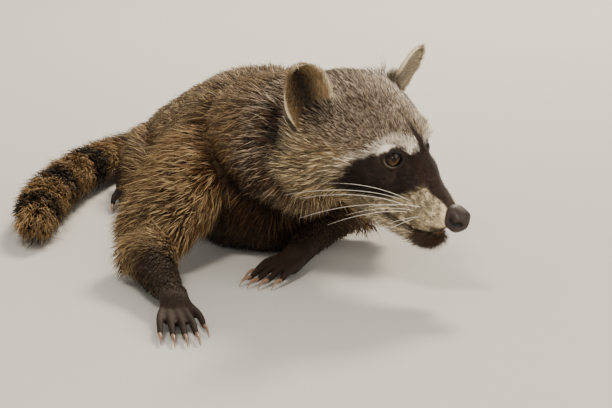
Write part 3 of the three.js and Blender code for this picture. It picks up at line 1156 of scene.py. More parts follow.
@dataclass(frozen=True)
class HeadHair:
    """Tufts of the head by how far towards the nose they grow, in millimetres.

    stand is how far a tip stands off the skin, as a share of its length. dense is in tufts on a
    square centimetre, and no more than long_dense where they are long. cheek, brow, jaw and by_ear
    are what is added to their length there, brow and by_ear twice as much on the animal's left.
    """

    long: Table = Table((-44, -24, -4, 10, 26, 38, 58, 82), (9, 6.6, 5.4, 4.8, 4.3, 4.2, 4.4, 3.2))
    stand: Table = Table((-40, 10, 45, 70), (0.34, 0.32, 0.28, 0.24))
    wide: Table = Table((-44, 0, 30, 60), (0.74, 0.58, 0.5, 0.38))
    dense: Table = Table((-44, -20, 0, 40, 60, 80), (90, 300, 480, 620, 950, 1050))
    long_dense: float = 110
    cheek: float = 8
    brow: float = 4
    jaw: float = 3.5
    by_ear: float = 5
    by_ear_at: Place = (-15, 40, 24)
    before_ear_at: Place = (4, 41, 16)
    reach: float = 12

    def near(self, spots: Array, at: Place) -> Array:
        """How near places of the head are to one on either side of it.

        Args:
            spots: places in the head's frame, in millimetres.
            at: the one place.

        Returns:
            1 at the place, falling to 0 well beyond the reach.
        """
        x, y, z = spots.T
        square = (x - at[0]) ** 2 + (np.abs(y) - at[1]) ** 2 + (z - at[2]) ** 2
        return np.exp(-square / self.reach**2)


@dataclass
class Dress:
    """Colours and measures of the coat at each corner of the skin or root of a tuft.

    low, middle and high are the colours at a tuft's root, half-way and tip. long, wide and rise are
    in metres. dense is in tufts on a square metre. pale_tip is the chance of a tip in the high
    colour, and dark the chance of a wholly dark tuft.
    """

    low: Array
    middle: Array
    high: Array
    long: Array
    wide: Array
    rise: Array
    dense: Array
    gather: Array
    pale_tip: Array
    dark: Array

    def tones(self) -> tuple[Array, Array, Array]:
        """The colours at root, half-way and tip."""
        return self.low, self.middle, self.high

    def blend(self, colours: Array | tuple[Array, ...], share: Array,
              depths: Row = (1.0, 1.0, 1.0)) -> None:
        """Draws the tufts' colours towards others.

        Args:
            colours: one colour, or one each for root, half-way and tip.
            share: how far at each corner.
            depths: what the share is multiplied by at root, half-way and tip.
        """
        for part, colour, deep in zip(self.tones(), np.broadcast_to(colours, (3, 3)), depths):
            part[:] = mixed(part, colour, deep * share)

    def mean(self) -> Array:
        """Colour of the coat seen from afar, which the skin takes, with painted shade under long
        hair.
        """
        # Painted shade: the skin under long hair is darkened as if shaded by the coat.
        deep = smooth(10 * MM, 16 * MM, self.long)[:, None]
        return (self.low * 0.55 + self.middle * 0.38 + self.high * 0.07) * (1 - 0.6 * deep)


@dataclass
class Dresser:
    """Dresses the skin: works out the colours and measures of the coat at each of its corners.

    spots are the corners in the head's frame, in millimetres. head, crown, cheek, white and far are
    shares: of the head, of its grizzled hair, of the pale cheeks, of the white brows and of the
    animal's left.
    """

    verts: Array
    normals: Array
    lie: Lie
    limbs: list[Limb]

    def __post_init__(self) -> None:
        """Finds the shares, and gives each corner its limb's own pelage."""
        count = len(self.verts)
        self.group = np.array([limb.group for limb in self.limbs])[self.lie.nearest]
        self.name = np.array([limb.name for limb in self.limbs])[self.lie.nearest]
        self.spots = local(self.verts, HEAD) / MM
        self.face = FaceMap().markings(self.spots)
        x, y, _ = self.spots.T
        self.head = (self.group == "head").astype(float)
        self.crown = np.maximum(self.head, (self.group == "neck") * smooth(-75, -40, x))
        self.cheek = self.crown * smooth(50, 78, turn_of(self.spots)) * smooth(-38, -12, x)
        self.white = self.face.brow * smooth(12, 30, x)
        self.far = smooth(4, 14, y)
        self.dress = Dress(
            plain(Coats.root, count), plain(Coats.mid, count), plain(Coats.pale, count),
            long=self.each("length") * MM, wide=self.each("width") * MM,
            rise=self.each("rise") * MM, dense=self.each("density") * PER_SQUARE_CM,
            gather=self.each("gather"), pale_tip=np.full(count, 0.5), dark=np.zeros(count),
        )

    def each(self, what: str) -> Array:
        """One measure of each corner's pelage."""
        return np.array([getattr(limb.pelage, what) for limb in self.limbs], float)[self.lie.nearest]

    def dressed(self) -> Dress:
        """Dresses one part of the animal after the other.

        Returns:
            The whole dress.
        """
        self.dress_body()
        self.dress_crown()
        self.mark_face()
        self.size_head_hair()
        for side in Side:
            self.dress_ear(side)
        self.dress_tail()
        self.dress_legs()
        self.scatter()
        return self.dress

    def dress_body(self) -> None:
        """Grey back, dark and rusty patches, and painted shade under the chest and belly, where the
        hair is partly darker of itself.
        """
        c, d = Coats, self.dress
        body = np.isin(self.group, ("trunk", "neck"))
        _, y, z = self.verts.T
        high = self.normals[:, 2]
        above = smooth(0.2, 0.9, high)
        d.middle = mixed(d.middle, c.grey, 0.55 * above * body)
        d.high = mixed(d.high, c.grey, 0.35 * above * body)
        patches = 0.45 * smooth(0.1, 1.0, waves(self.verts, 0.07, SEED))
        d.middle = mixed(d.middle, c.root, patches)
        patches = 0.4 * smooth(0.1, 0.9, waves(self.verts, 0.09, SEED + 1))
        d.middle = mixed(d.middle, c.rust, patches)
        # Painted shade: where the trunk and neck face down, and low at the front of the chest, the
        # hair is darkened as if in shadow, and partly because it is darker there.
        under = 1 - smooth(-0.75, 0.1, high)
        chest = (1 - smooth(40 * MM, 80 * MM, z)) * (1 - smooth(-20 * MM, 40 * MM, y))
        painted_underside_shade = np.maximum(under, chest) * body
        d.blend((c.black, c.root, c.mid), painted_underside_shade, (0.7, 0.7, 0.85))
        d.pale_tip = d.pale_tip * (1 - 0.6 * painted_underside_shade)

    def dress_crown(self) -> None:
        """Grizzled crown and nape, with pale cheeks."""
        c = Coats
        self.dress.blend((c.crown_low, c.crown, c.crown_high), self.crown)
        self.dress.blend((c.tan, c.pale, c.rim), self.cheek, (0.75, 0.72, 0.95))

    def mark_face(self) -> None:
        """Painted shade in the fold behind each ear and then the face's markings, with a painted
        shadow under the nose, the later over the earlier.
        """
        c, d, face, head = Coats, self.dress, self.face, self.head
        x, y, z = self.spots[:, 0], np.abs(self.spots[:, 1]), self.spots[:, 2]
        at_root = (0.75, 1.0, 1.0)
        # Painted shade: a dark patch behind each ear stands in for the shadow in the fold between
        # head and neck.
        nape = np.exp(-(((x + 34) / 13) ** 2 + ((z + 2) / 17) ** 2))
        nape *= smooth(22, 34, y) * (self.group != "ears")
        specks = smooth(0.2, 0.7, waves(self.verts, 0.0032, SEED + 5))
        specks = specks * (0.55 + 0.45 * smooth(12, 24, -z))
        # Painted shadow under the tip of the muzzle, below the nose pad.
        painted_lip_shadow = smooth(69, 76, x) * (1 - smooth(-23, -20, z)) * head
        # Painted shade of the fold behind each ear.
        d.blend(c.black, 0.8 * nape)
        d.blend(c.muzzle, face.muzzle * head, at_root)
        d.blend(c.bridge, 0.34 * face.muzzle * head * specks)
        # Real dark dots of the whiskers, and painted shadow under the nose in the colour of the
        # bridge.
        d.blend(c.bridge, np.maximum(0.95 * face.dots, 0.9 * painted_lip_shadow))
        d.blend(c.white, self.white * head, (0.9, 1.0, 1.0))
        d.blend(c.muzzle, face.brow * (1 - self.white) * head * 0.45, at_root)
        d.blend(c.mask, face.mask * head)
        d.blend(c.chin, 0.2 * face.seam * head)
        d.blend(c.bridge, face.stripe * head)
        d.blend(c.rim, 0.7 * face.jaw * (1 - face.chin) * head, at_root)
        d.blend(c.chin, face.chin * head * 0.9)
        d.blend(c.lip, 0.9 * face.mouth * head)

    def size_head_hair(self) -> None:
        """Length, stand, width and density of the head's tufts, dark and tall by the ears."""
        d, face, hair = self.dress, self.face, HeadHair()
        is_head = self.group == "head"
        x = self.spots[:, 0]
        tall = hair.near(self.spots, hair.by_ear_at)
        long = hair.long(x) * MM
        cheek = hair.cheek * self.cheek * (1 - smooth(8, 32, x))
        brow = hair.brow * (1 + self.far) * self.white
        long += MM * (cheek + brow + hair.jaw * face.jaw)
        long += MM * hair.by_ear * (1 + self.far) * tall
        long *= 1 - 0.35 * hair.near(self.spots, hair.before_ear_at)
        d.blend(Coats.black, 0.75 * tall * self.head)
        stand = hair.stand(x) + (0.4 + 0.7 * self.far) * tall
        stand = stand + 0.2 * face.jaw + 0.4 * self.far * self.white
        d.long = np.where(is_head, long, d.long)
        d.rise = np.where(is_head, long * stand, d.rise)
        d.wide = np.where(is_head, hair.wide(x) * MM, d.wide)
        d.dense = np.where(is_head, hair.dense(x) * PER_SQUARE_CM, d.dense)
        few = np.minimum(d.dense, hair.long_dense * PER_SQUARE_CM)
        d.dense = np.where(is_head & (d.long > LONGEST_FINE_TUFT), few, d.dense)
        d.dense = d.dense * np.where(is_head, self.haired(), 1.0)

    def haired(self) -> Array:
        """Bares the skin round the nose pad and the eyes.

        Returns:
            The share of the hair that is left at each corner.
        """
        nose_at, nose_radius = np.array([83, 0, -13]), 9
        off = ((self.spots - nose_at) ** 2).sum(1) ** 0.5 - nose_radius
        share = smooth(-1.0, 1.5, off)
        for eye in EYES:
            off = np.linalg.norm(self.verts - (eye.centre + eye.gaze * 5 * MM), axis=1)
            share *= smooth(7.3 * MM, 8.6 * MM, off)
        return share

    def dress_ear(self, side: Side) -> None:
        """One ear: dark pit, pale tufts and rim, and long dark hair at its root.

        Args:
            side: the ear's side.
        """
        c, d, look = Coats, self.dress, EARS[side]
        own = self.name == f"ear_{side.word}"
        place = ear_frame(side)
        _, across, up = (local(self.verts[own], place) / MM).T
        heights = [s.at[2] for s in EAR_LEAF]
        middle = np.interp(up, heights, [s.at[1] for s in EAR_LEAF])
        half = np.interp(up, heights, [s.side - s.coat for s in EAR_LEAF])
        front = -(across * side.value - middle) / half
        inside = smooth(-0.5, 0.0, self.normals[own] @ place[:3, 0])
        edge = np.maximum(smooth(0.86, 0.95, np.abs(front)), smooth(40.5, 43.5, up))
        tuft = inside * smooth(0.05, 0.7, front)
        rear = inside * smooth(0.35, 0.8, -front)
        fringe = look.fringe * smooth(0.8, 0.95, front) * (1 - smooth(8, 22, up))
        root_hair = (1 - inside) * (1 - smooth(look.root_hair - 12, look.root_hair, up))
        root_hair = np.maximum(root_hair, fringe)
        back = (1 - inside) * smooth(6, 22, up)
        pit = inside * np.exp(-(((front - 0.02) / 0.36) ** 2)) * (1 - 0.5 * smooth(26, 44, up))
        leaf = np.maximum(np.maximum(tuft, 0.6 * rear), back)
        pale = look.pale * np.maximum(inside, 0.7)
        bases, pale_depths, rim_depths = (c.root, c.inner, c.tan), (0.5, 1.0, 1.0), (0.8, 1.0, 1.0)
        for part, base, deep, rim in zip(d.tones(), bases, pale_depths, rim_depths):
            ear = mixed(plain(base, own.sum()), c.leaf, leaf)
            ear = mixed(ear, c.black, 0.9 * pit)
            ear = mixed(ear, c.rim, pale * deep)
            ear = mixed(ear, c.rim, edge * rim)
            part[own] = mixed(ear, c.black, 0.9 * root_hair)
        d.long[own] *= 1.0 - 0.4 * edge + 0.9 * tuft * (1 - edge) + 1.7 * root_hair
        d.rise[own] *= 1.0 - 0.3 * edge + 0.8 * inside + 3.6 * root_hair

    def dress_tail(self) -> None:
        """Rusty tail with dark rings, in which few tips are pale."""
        c, d = Coats, self.dress
        tail = self.group == "tail"
        d.blend((c.rust, c.tan, c.tan), tail, (0.55, 0.55, 0.5))
        along = self.lie.share + 0.012 * waves(self.verts, 0.03, SEED + 8)
        ring = np.zeros(len(self.verts))
        for middle in TAIL_RINGS:
            ring = np.maximum(ring, 1 - smooth(0.024, 0.044, np.abs(along - middle)))
        ring = ring * tail
        d.blend(c.ring, 0.92 * ring)
        d.pale_tip = d.pale_tip * (1 - 0.85 * ring)

    def dress_legs(self) -> None:
        """Tan arms, and dark paws whose colour and short hair begin above the wrist and the heel."""
        c, d = Coats, self.dress
        d.middle = mixed(d.middle, c.tan, 0.08 * (self.group == "forelegs"))
        shins = np.isin(self.name, ("forearm_left", "forearm_right", "shank_left", "shank_right"))
        onset = shins * smooth(0.08, 0.55, self.lie.share) * 0.95
        paws = np.maximum((self.group == "paws").astype(float), onset)
        d.blend((c.paw, c.paw, c.paw_tip), paws)
        long = np.interp(self.lie.share, (0, 0.35, 0.8, 1), (17, 8, 4.5, 3.6)) * MM
        d.long = np.where(shins, long, d.long)
        d.rise = np.where(shins, long * 0.3, d.rise)

    def scatter(self) -> None:
        """Chances of pale tips and dark tufts, and the thin coat of what lies on the floor."""
        d, face, head = self.dress, self.face, self.head
        not_mask = 1 - face.mask * head
        d.pale_tip = np.maximum(d.pale_tip * not_mask, 0.95 * self.white * head)
        not_under = self.normals[:, 2] > -0.3
        clear = smooth(8 * MM, 22 * MM, self.verts[:, 2] + 14 * MM * not_under)
        d.dense = d.dense * (0.12 + 0.88 * clear)
        dark = (0.08 + 0.34 * self.crown) * (1 - self.white) + 0.26 * face.muzzle * head
        d.dark = dark * not_mask + 0.26 * (self.group == "ears")


# ---- the coat


@dataclass
class Roots:
    """Places where tufts grow, with the skin's measures carried to them."""

    at: Array
    normal: Array
    flow: Array
    dress: Dress
    unwrap: Array


def rooted(verts: Array, quads: Array, normals: Array, lie: Lie, dress: Dress, chosen: Array,
           most: int, bands: dict[int, int], seed: int) -> Roots:
    """Seeded roots over the chosen faces, as dense as the dress says and no more than most.

    Args:
        verts: corners of the skin.
        quads: faces of the skin.
        normals: unit normals at the corners.
        lie: the lie of the coat at the corners.
        dress: colours and measures at the corners.
        chosen: the faces that this coat covers.
        most: greatest number of roots.
        bands: the band of the bake map that each limb has.
        seed: seed of the random places.

    Returns:
        The roots.
    """
    rng = np.random.default_rng(seed)
    q = quads[chosen]
    tris = np.concatenate([q[:, [0, 1, 2]], q[:, [0, 2, 3]]])
    tris = tris[(tris[:, 1] != tris[:, 2]) & (tris[:, 0] != tris[:, 2])]
    a, b, c = (verts[tris[:, i]] for i in range(3))
    area = np.linalg.norm(np.cross(b - a, c - a), axis=1) / 2
    weight = area * dress.dense[tris].mean(1)
    total = int(weight.sum())
    count = min(most, total)
    if total > most:
        log.info("coat thinned from %d to %d tufts", total, most)
    pick = np.searchsorted(np.cumsum(weight), rng.uniform(0, weight.sum(), count))
    pick = np.minimum(pick, len(tris) - 1)
    share = np.sqrt(rng.uniform(size=count))
    other = rng.uniform(size=count)
    bary = np.stack([1 - share, share * (1 - other), share * other], 1)
    corners = tris[pick]

    def carried(values: Array) -> Array:
        """Values of the corners blended at the roots."""
        if values.ndim == 1:
            return (values[corners] * bary).sum(1)
        return np.einsum("rc,rck->rk", bary, values[corners])

    first = corners[np.arange(count), bary.argmax(1)]
    band = np.array([bands[int(n)] for n in range(max(bands) + 1)])[lie.nearest[first]]
    across = (lie.turn[first] + band) / (max(bands.values()) + 1)
    return Roots(
        at=carried(verts),
        normal=unit(carried(normals)),
        flow=unit(carried(lie.flow)),
        dress=Dress(**{k: carried(v) for k, v in vars(dress).items()}),
        unwrap=np.stack([across, lie.share[first]], 1),
    )


def nearest_of(points: Array, centres: Array) -> Array:
    """Index of the centre nearest to each point.

    Args:
        points: places, one a row.
        centres: what to choose from, one a row.

    Returns:
        One index for each point.
    """
    at_once = 2000
    found = []
    square = (centres**2).sum(1)
    for chunk in np.array_split(points.astype(np.float32), max(1, len(points) // at_once)):
        found.append((square - 2 * chunk @ centres.T).argmin(1))
    return np.concatenate(found)


@dataclass
class Fur:
    """Tufts as one mesh, with the colour of each corner and its place on the bake map."""

    surface: Surface
    tones: Array
    uv: Array

    def part(self, first: int, last: int, total: int) -> "Fur":
        """Some of the tufts.

        Args:
            first: number of the first one.
            last: number of the one after the last.
            total: how many there are in all.

        Returns:
            These tufts as a mesh of their own.
        """
        verts, loops, sizes = self.surface.verts, self.surface.loops, self.surface.sizes
        each, faces = len(verts) // total, len(sizes) // total
        own, own_faces = slice(first * each, last * each), slice(first * faces, last * faces)
        corners = slice(first * faces * 3, last * faces * 3)
        surface = Surface(verts[own], loops[corners] - first * each, sizes[own_faces])
        return Fur(surface, self.tones[own], self.uv[own])


@dataclass
class Tufts:
    """Tapered three-sided tufts that lie along the coat.

    At share s of its length a tuft's middle is root - sunk * normal + flow * long * s +
    normal * rise * (2s - s squared) + side * curl * s squared + the pull of its lock * s squared.
    Its half-width is its width times the share in taper, and its crest is as high as that times
    tall. Every draw comes from one generator, so the steps keep their order.
    """

    roots: Roots
    segments: int
    seed: int
    sunk: float = 0.6 * MM
    taper: Table = Table((0, 0.5, 1), (0.44, 0.46, 0.0))
    tall: float = 0.75
    lock: int = 14
    patch: float = 0.003

    def __post_init__(self) -> None:
        """Starts the draws."""
        self.rng = np.random.default_rng(self.seed)
        self.count = len(self.roots.at)
        self.shares = np.linspace(0.0, 1.0, self.segments + 1)

    def grown(self) -> Fur:
        """Shapes, colours and unwraps the tufts.

        Returns:
            The finished tufts.
        """
        surface = self.surface()
        tones = self.tones()
        step = self.shares[: self.segments]
        along = np.concatenate([np.repeat(step, 3), [1.0]])
        across = np.concatenate([np.tile([0.0, 1.0, 0.5], self.segments), [0.5]])
        cell = np.stack([across - 0.5, along - 0.5], 1) * self.patch
        inset = 0.002 + 0.996 * self.roots.unwrap
        return Fur(surface, tones, (inset[:, None] + cell[None]).reshape(-1, 2))

    def pulls(self, flow: Array) -> Array:
        """How far the tip of each tuft is drawn into its lock, and lifted with it.

        Args:
            flow: direction of each tuft.

        Returns:
            One shift for each tuft, in metres.
        """
        at, normal, d = self.roots.at, self.roots.normal, self.roots.dress
        locks = min(max(4, self.count // self.lock), self.count)
        centres = self.rng.choice(self.count, locks, replace=False)
        lock = nearest_of(at, at[centres].astype(np.float32))
        pull = at[centres][lock] - at
        pull = pull - normal * (pull * normal).sum(1, keepdims=True)
        pull = pull - flow * (pull * flow).sum(1, keepdims=True)
        lift = self.rng.normal(0, 0.22, len(centres))[lock] * d.rise
        return pull * np.clip(d.gather, 0, 1)[:, None] * 1.1 + normal * lift[:, None]

    def surface(self) -> Surface:
        """The prisms of all tufts, each closed at its root and pointed at its tip.

        Returns:
            The surface, above the floor.
        """
        at, normal, d = self.roots.at, self.roots.normal, self.roots.dress
        rng, count = self.rng, self.count
        spin = np.radians(rng.normal(0, 9, count) + 13 * waves(at, 0.03, self.seed + 1))
        side = np.cross(normal, self.roots.flow)
        flow = self.roots.flow * np.cos(spin)[:, None] + side * np.sin(spin)[:, None]
        side = np.cross(normal, flow)
        long = d.long * rng.uniform(0.65, 1.2, count) * (1 + 0.15 * waves(at, 0.04, self.seed + 2))
        rise = d.rise * rng.uniform(0.45, 1.25, count)
        wide = d.wide * rng.uniform(0.65, 1.25, count)
        pull = self.pulls(flow)
        curl = rng.normal(0, 0.09, count) * long
        s = self.shares[None, :, None]
        middle = (
            at[:, None] - normal[:, None] * self.sunk + flow[:, None] * long[:, None, None] * s
            + normal[:, None] * rise[:, None, None] * (2 * s - s**2)
            + side[:, None] * curl[:, None, None] * s**2 + pull[:, None] * s**2
        )
        up = unit(np.cross(flow, side))
        half = (wide[:, None] * self.taper(self.shares)[None])[..., None]
        edge, crest = side[:, None] * half, up[:, None] * half * self.tall
        rings = np.stack([middle + edge, middle - edge, middle + crest], 2)[:, : self.segments]
        verts = np.concatenate([rings.reshape(count, -1, 3), middle[:, -1:]], 1)
        floor = FLOOR_CLEARANCE * rng.uniform(0.5, 3.0, count)[:, None]
        verts[..., 2] = np.maximum(verts[..., 2], floor)
        one = self.faces()
        faces = one[None] + (np.arange(count) * verts.shape[1])[:, None, None]
        return Surface(verts.reshape(-1, 3), faces.ravel(), np.full(count * len(one), 3))

    def faces(self) -> Array:
        """Triangles of one tuft.

        Returns:
            Three corners a row: its sides, its point and its root.
        """
        made = []
        for r in range(self.segments - 1):
            for k in range(3):
                a, b = 3 * r + k, 3 * r + (k + 1) % 3
                made += [(a, b, b + 3), (a, b + 3, a + 3)]
        top = 3 * (self.segments - 1)
        made += [(top, top + 1, top + 3), (top + 1, top + 2, top + 3), (top + 2, top, top + 3)]
        return np.array(made + [(0, 2, 1)])[:, ::-1]

    def tones(self) -> Array:
        """Colour of each corner, from the root's to the tip's, with some tufts pale or dark.

        Returns:
            One colour for each corner of the tufts.
        """
        d, rng, count = self.roots.dress, self.rng, self.count
        pale = rng.uniform(size=count) < d.pale_tip
        value = np.exp(rng.normal(0, 0.22, count))
        value = (value * np.where(rng.uniform(size=count) < d.dark, 0.3, 1.0))[:, None]
        tip = np.where(pale[:, None], d.high, d.middle * 0.55)
        made = [d.low * value]
        for s in self.shares[1 : self.segments]:
            made.append(((1 - s) * d.middle + s * (0.35 * d.middle + 0.65 * tip)) * value)
        made = np.stack(made, 1).repeat(3, 1)
        return np.concatenate([made, (tip * value)[:, None]], 1).reshape(-1, 3)


# ---- finishes


def grain_group() -> bpy.types.NodeTree:
    """Group that turns a place into a mottled tone and a fine height.

    Returns:
        The group: Tone, Scale and Vary go in, Tone and Height come out.
    """
    tree = bpy.data.node_groups.new("Grain", "ShaderNodeTree")
    for name, way, kind in (("Tone", "INPUT", "Color"), ("Scale", "INPUT", "Float"),
                            ("Vary", "INPUT", "Float"), ("Tone", "OUTPUT", "Color"),
                            ("Height", "OUTPUT", "Float")):
        tree.interface.new_socket(name, in_out=way, socket_type=f"NodeSocket{kind}")
    start, end = tree.nodes.new("NodeGroupInput"), tree.nodes.new("NodeGroupOutput")
    where = tree.nodes.new("ShaderNodeTexCoord")
    noise = tree.nodes.new("ShaderNodeTexNoise")
    noise.inputs["Detail"].default_value = 3.0
    spread = tree.nodes.new("ShaderNodeMapRange")
    spread.inputs["From Min"].default_value = 0.3
    spread.inputs["From Max"].default_value = 0.7
    tint = tree.nodes.new("ShaderNodeMix")
    tint.data_type = "RGBA"
    tint.blend_type = "MULTIPLY"
    tint.inputs["Factor"].default_value = 1.0
    link = tree.links.new
    for operation, limit in (("SUBTRACT", "To Min"), ("ADD", "To Max")):
        bound = tree.nodes.new("ShaderNodeMath")
        bound.operation = operation
        bound.inputs[0].default_value = 1.0
        link(start.outputs["Vary"], bound.inputs[1])
        link(bound.outputs[0], spread.inputs[limit])
    link(where.outputs["Object"], noise.inputs["Vector"])
    link(start.outputs["Scale"], noise.inputs["Scale"])
    link(noise.outputs["Fac"], spread.inputs["Value"])
    link(start.outputs["Tone"], tint.inputs["A"])
    link(spread.outputs["Result"], tint.inputs["B"])
    link(tint.outputs["Result"], end.inputs["Tone"])
    link(noise.outputs["Fac"], end.inputs["Height"])
    return tree


@dataclass(frozen=True)
class Finish:
    """Look of a material: roughness, specular, clear coat and a fine bump, over a tone from the mesh.
    """

    name: str
    rough: float
    coat: float = 0.0
    bump: float = 0.0
    grain: float = 900.0
    vary: float = 0.15
    colour: str | None = None
    specular: float = 0.5
    coat_rough: float = 0.08
    bump_height: float = 0.4 * MM

    def material(self, group: bpy.types.NodeTree) -> bpy.types.Material:
        """A new material, whose colour comes from the mesh's "Tone" or from the finish.

        Args:
            group: the grain's node group.

        Returns:
            The material.
        """
        made = bpy.data.materials.new(self.name)
        made.use_nodes = True
        nodes, link = made.node_tree.nodes, made.node_tree.links.new
        shader = next(n for n in nodes if n.type == "BSDF_PRINCIPLED")
        shader.inputs["Roughness"].default_value = self.rough
        shader.inputs["Coat Weight"].default_value = self.coat
        shader.inputs["Coat Roughness"].default_value = self.coat_rough
        shader.inputs["Specular IOR Level"].default_value = self.specular
        mottle = nodes.new("ShaderNodeGroup")
        mottle.node_tree = group
        mottle.inputs["Scale"].default_value = self.grain
        mottle.inputs["Vary"].default_value = self.vary
        if self.colour is None:
            tones = nodes.new("ShaderNodeAttribute")
            tones.attribute_name = "Tone"
            link(tones.outputs["Color"], mottle.inputs["Tone"])
        else:
            mottle.inputs["Tone"].default_value = (*tone(self.colour), 1.0)
        link(mottle.outputs["Tone"], shader.inputs["Base Color"])
        if self.bump:
            bump = nodes.new("ShaderNodeBump")
            bump.inputs["Strength"].default_value = self.bump
            bump.inputs["Distance"].default_value = self.bump_height
            link(mottle.outputs["Height"], bump.inputs["Height"])
            link(bump.outputs["Normal"], shader.inputs["Normal"])
        return made


SKIN = Finish("Skin", 0.75, bump=0.5, grain=1400, vary=0.2, specular=0.3)
HAIR = Finish("Fur", 0.62, vary=0.12, grain=500, specular=0.35)
WET_EYE = Finish("Eye", 0.05, coat=0.35, vary=0.05, grain=2500, specular=0.1)
LID = Finish("Lid", 0.5, bump=0.3, vary=0.1, grain=1500, specular=0.25)
LEATHER = Finish("Nose", 0.5, coat=0.08, bump=0.7, grain=1500, vary=0.2, specular=0.4)
HORN = Finish("Claw", 0.4, coat=0.2, vary=0.2, grain=300, colour="#8c6c55")
BRISTLE = Finish("Whisker", 0.35, vary=0.05, grain=300, colour="#efe8da")


# ---- eyes, lids, nose, claws, whiskers


def around(axis: Array) -> tuple[Array, Array]:
    """Two unit directions square to an axis, the second as near to up as it can be."""
    up = unit(np.array([0, 0, 1.0]) - axis * axis[2])
    return np.cross(up, axis), up


def ball(centre: Array, axis: Array, radii: Array, angles: Array, sides: int) -> Surface:
    """Body turned about an axis.

    Args:
        centre: its middle.
        axis: unit direction of the axis.
        radii: distance from the middle at each angle.
        angles: angles from the axis, from 0 to half a turn.
        sides: corners in a ring.

    Returns:
        The closed surface.
    """
    across, up = around(axis)
    turn = np.linspace(0, 2 * np.pi, sides, endpoint=False)
    ring = np.cos(turn)[:, None] * across + np.sin(turn)[:, None] * up
    a, r = angles[1:-1, None, None], radii[1:-1, None, None]
    body = centre + r * (np.cos(a) * axis + np.sin(a) * ring[None])
    ends = centre + np.array([radii[0], -radii[-1]])[:, None] * axis
    verts = np.vstack([ends[:1], body.reshape(-1, 3), ends[1:]])
    return Surface(verts, *grid_faces(len(angles) - 2, sides))


def bar(points: Array, radii: Array, sides: int = 8, flat: float = 1.0) -> Surface:
    """Rod along points, closed at both ends by low cones.

    Args:
        points: its middle line.
        radii: its radius at each point.
        sides: corners in a ring.
        flat: its height over its width.

    Returns:
        The closed surface.
    """
    end = 0.3
    aside = np.array([0.13, 0.21, 1.0])
    ahead = unit(np.gradient(points, axis=0))
    across = unit(np.cross(ahead, aside))
    up = np.cross(across, ahead)
    turn = np.linspace(0, 2 * np.pi, sides, endpoint=False)
    ring = np.cos(turn)[None, :, None] * across[:, None]
    ring = ring + flat * np.sin(turn)[None, :, None] * up[:, None]
    body = points[:, None] + radii[:, None, None] * ring
    first = points[:1] - ahead[:1] * radii[0] * end
    last = points[-1:] + ahead[-1:] * radii[-1] * end
    return Surface(np.vstack([first, body.reshape(-1, 3), last]), *grid_faces(len(points), sides))


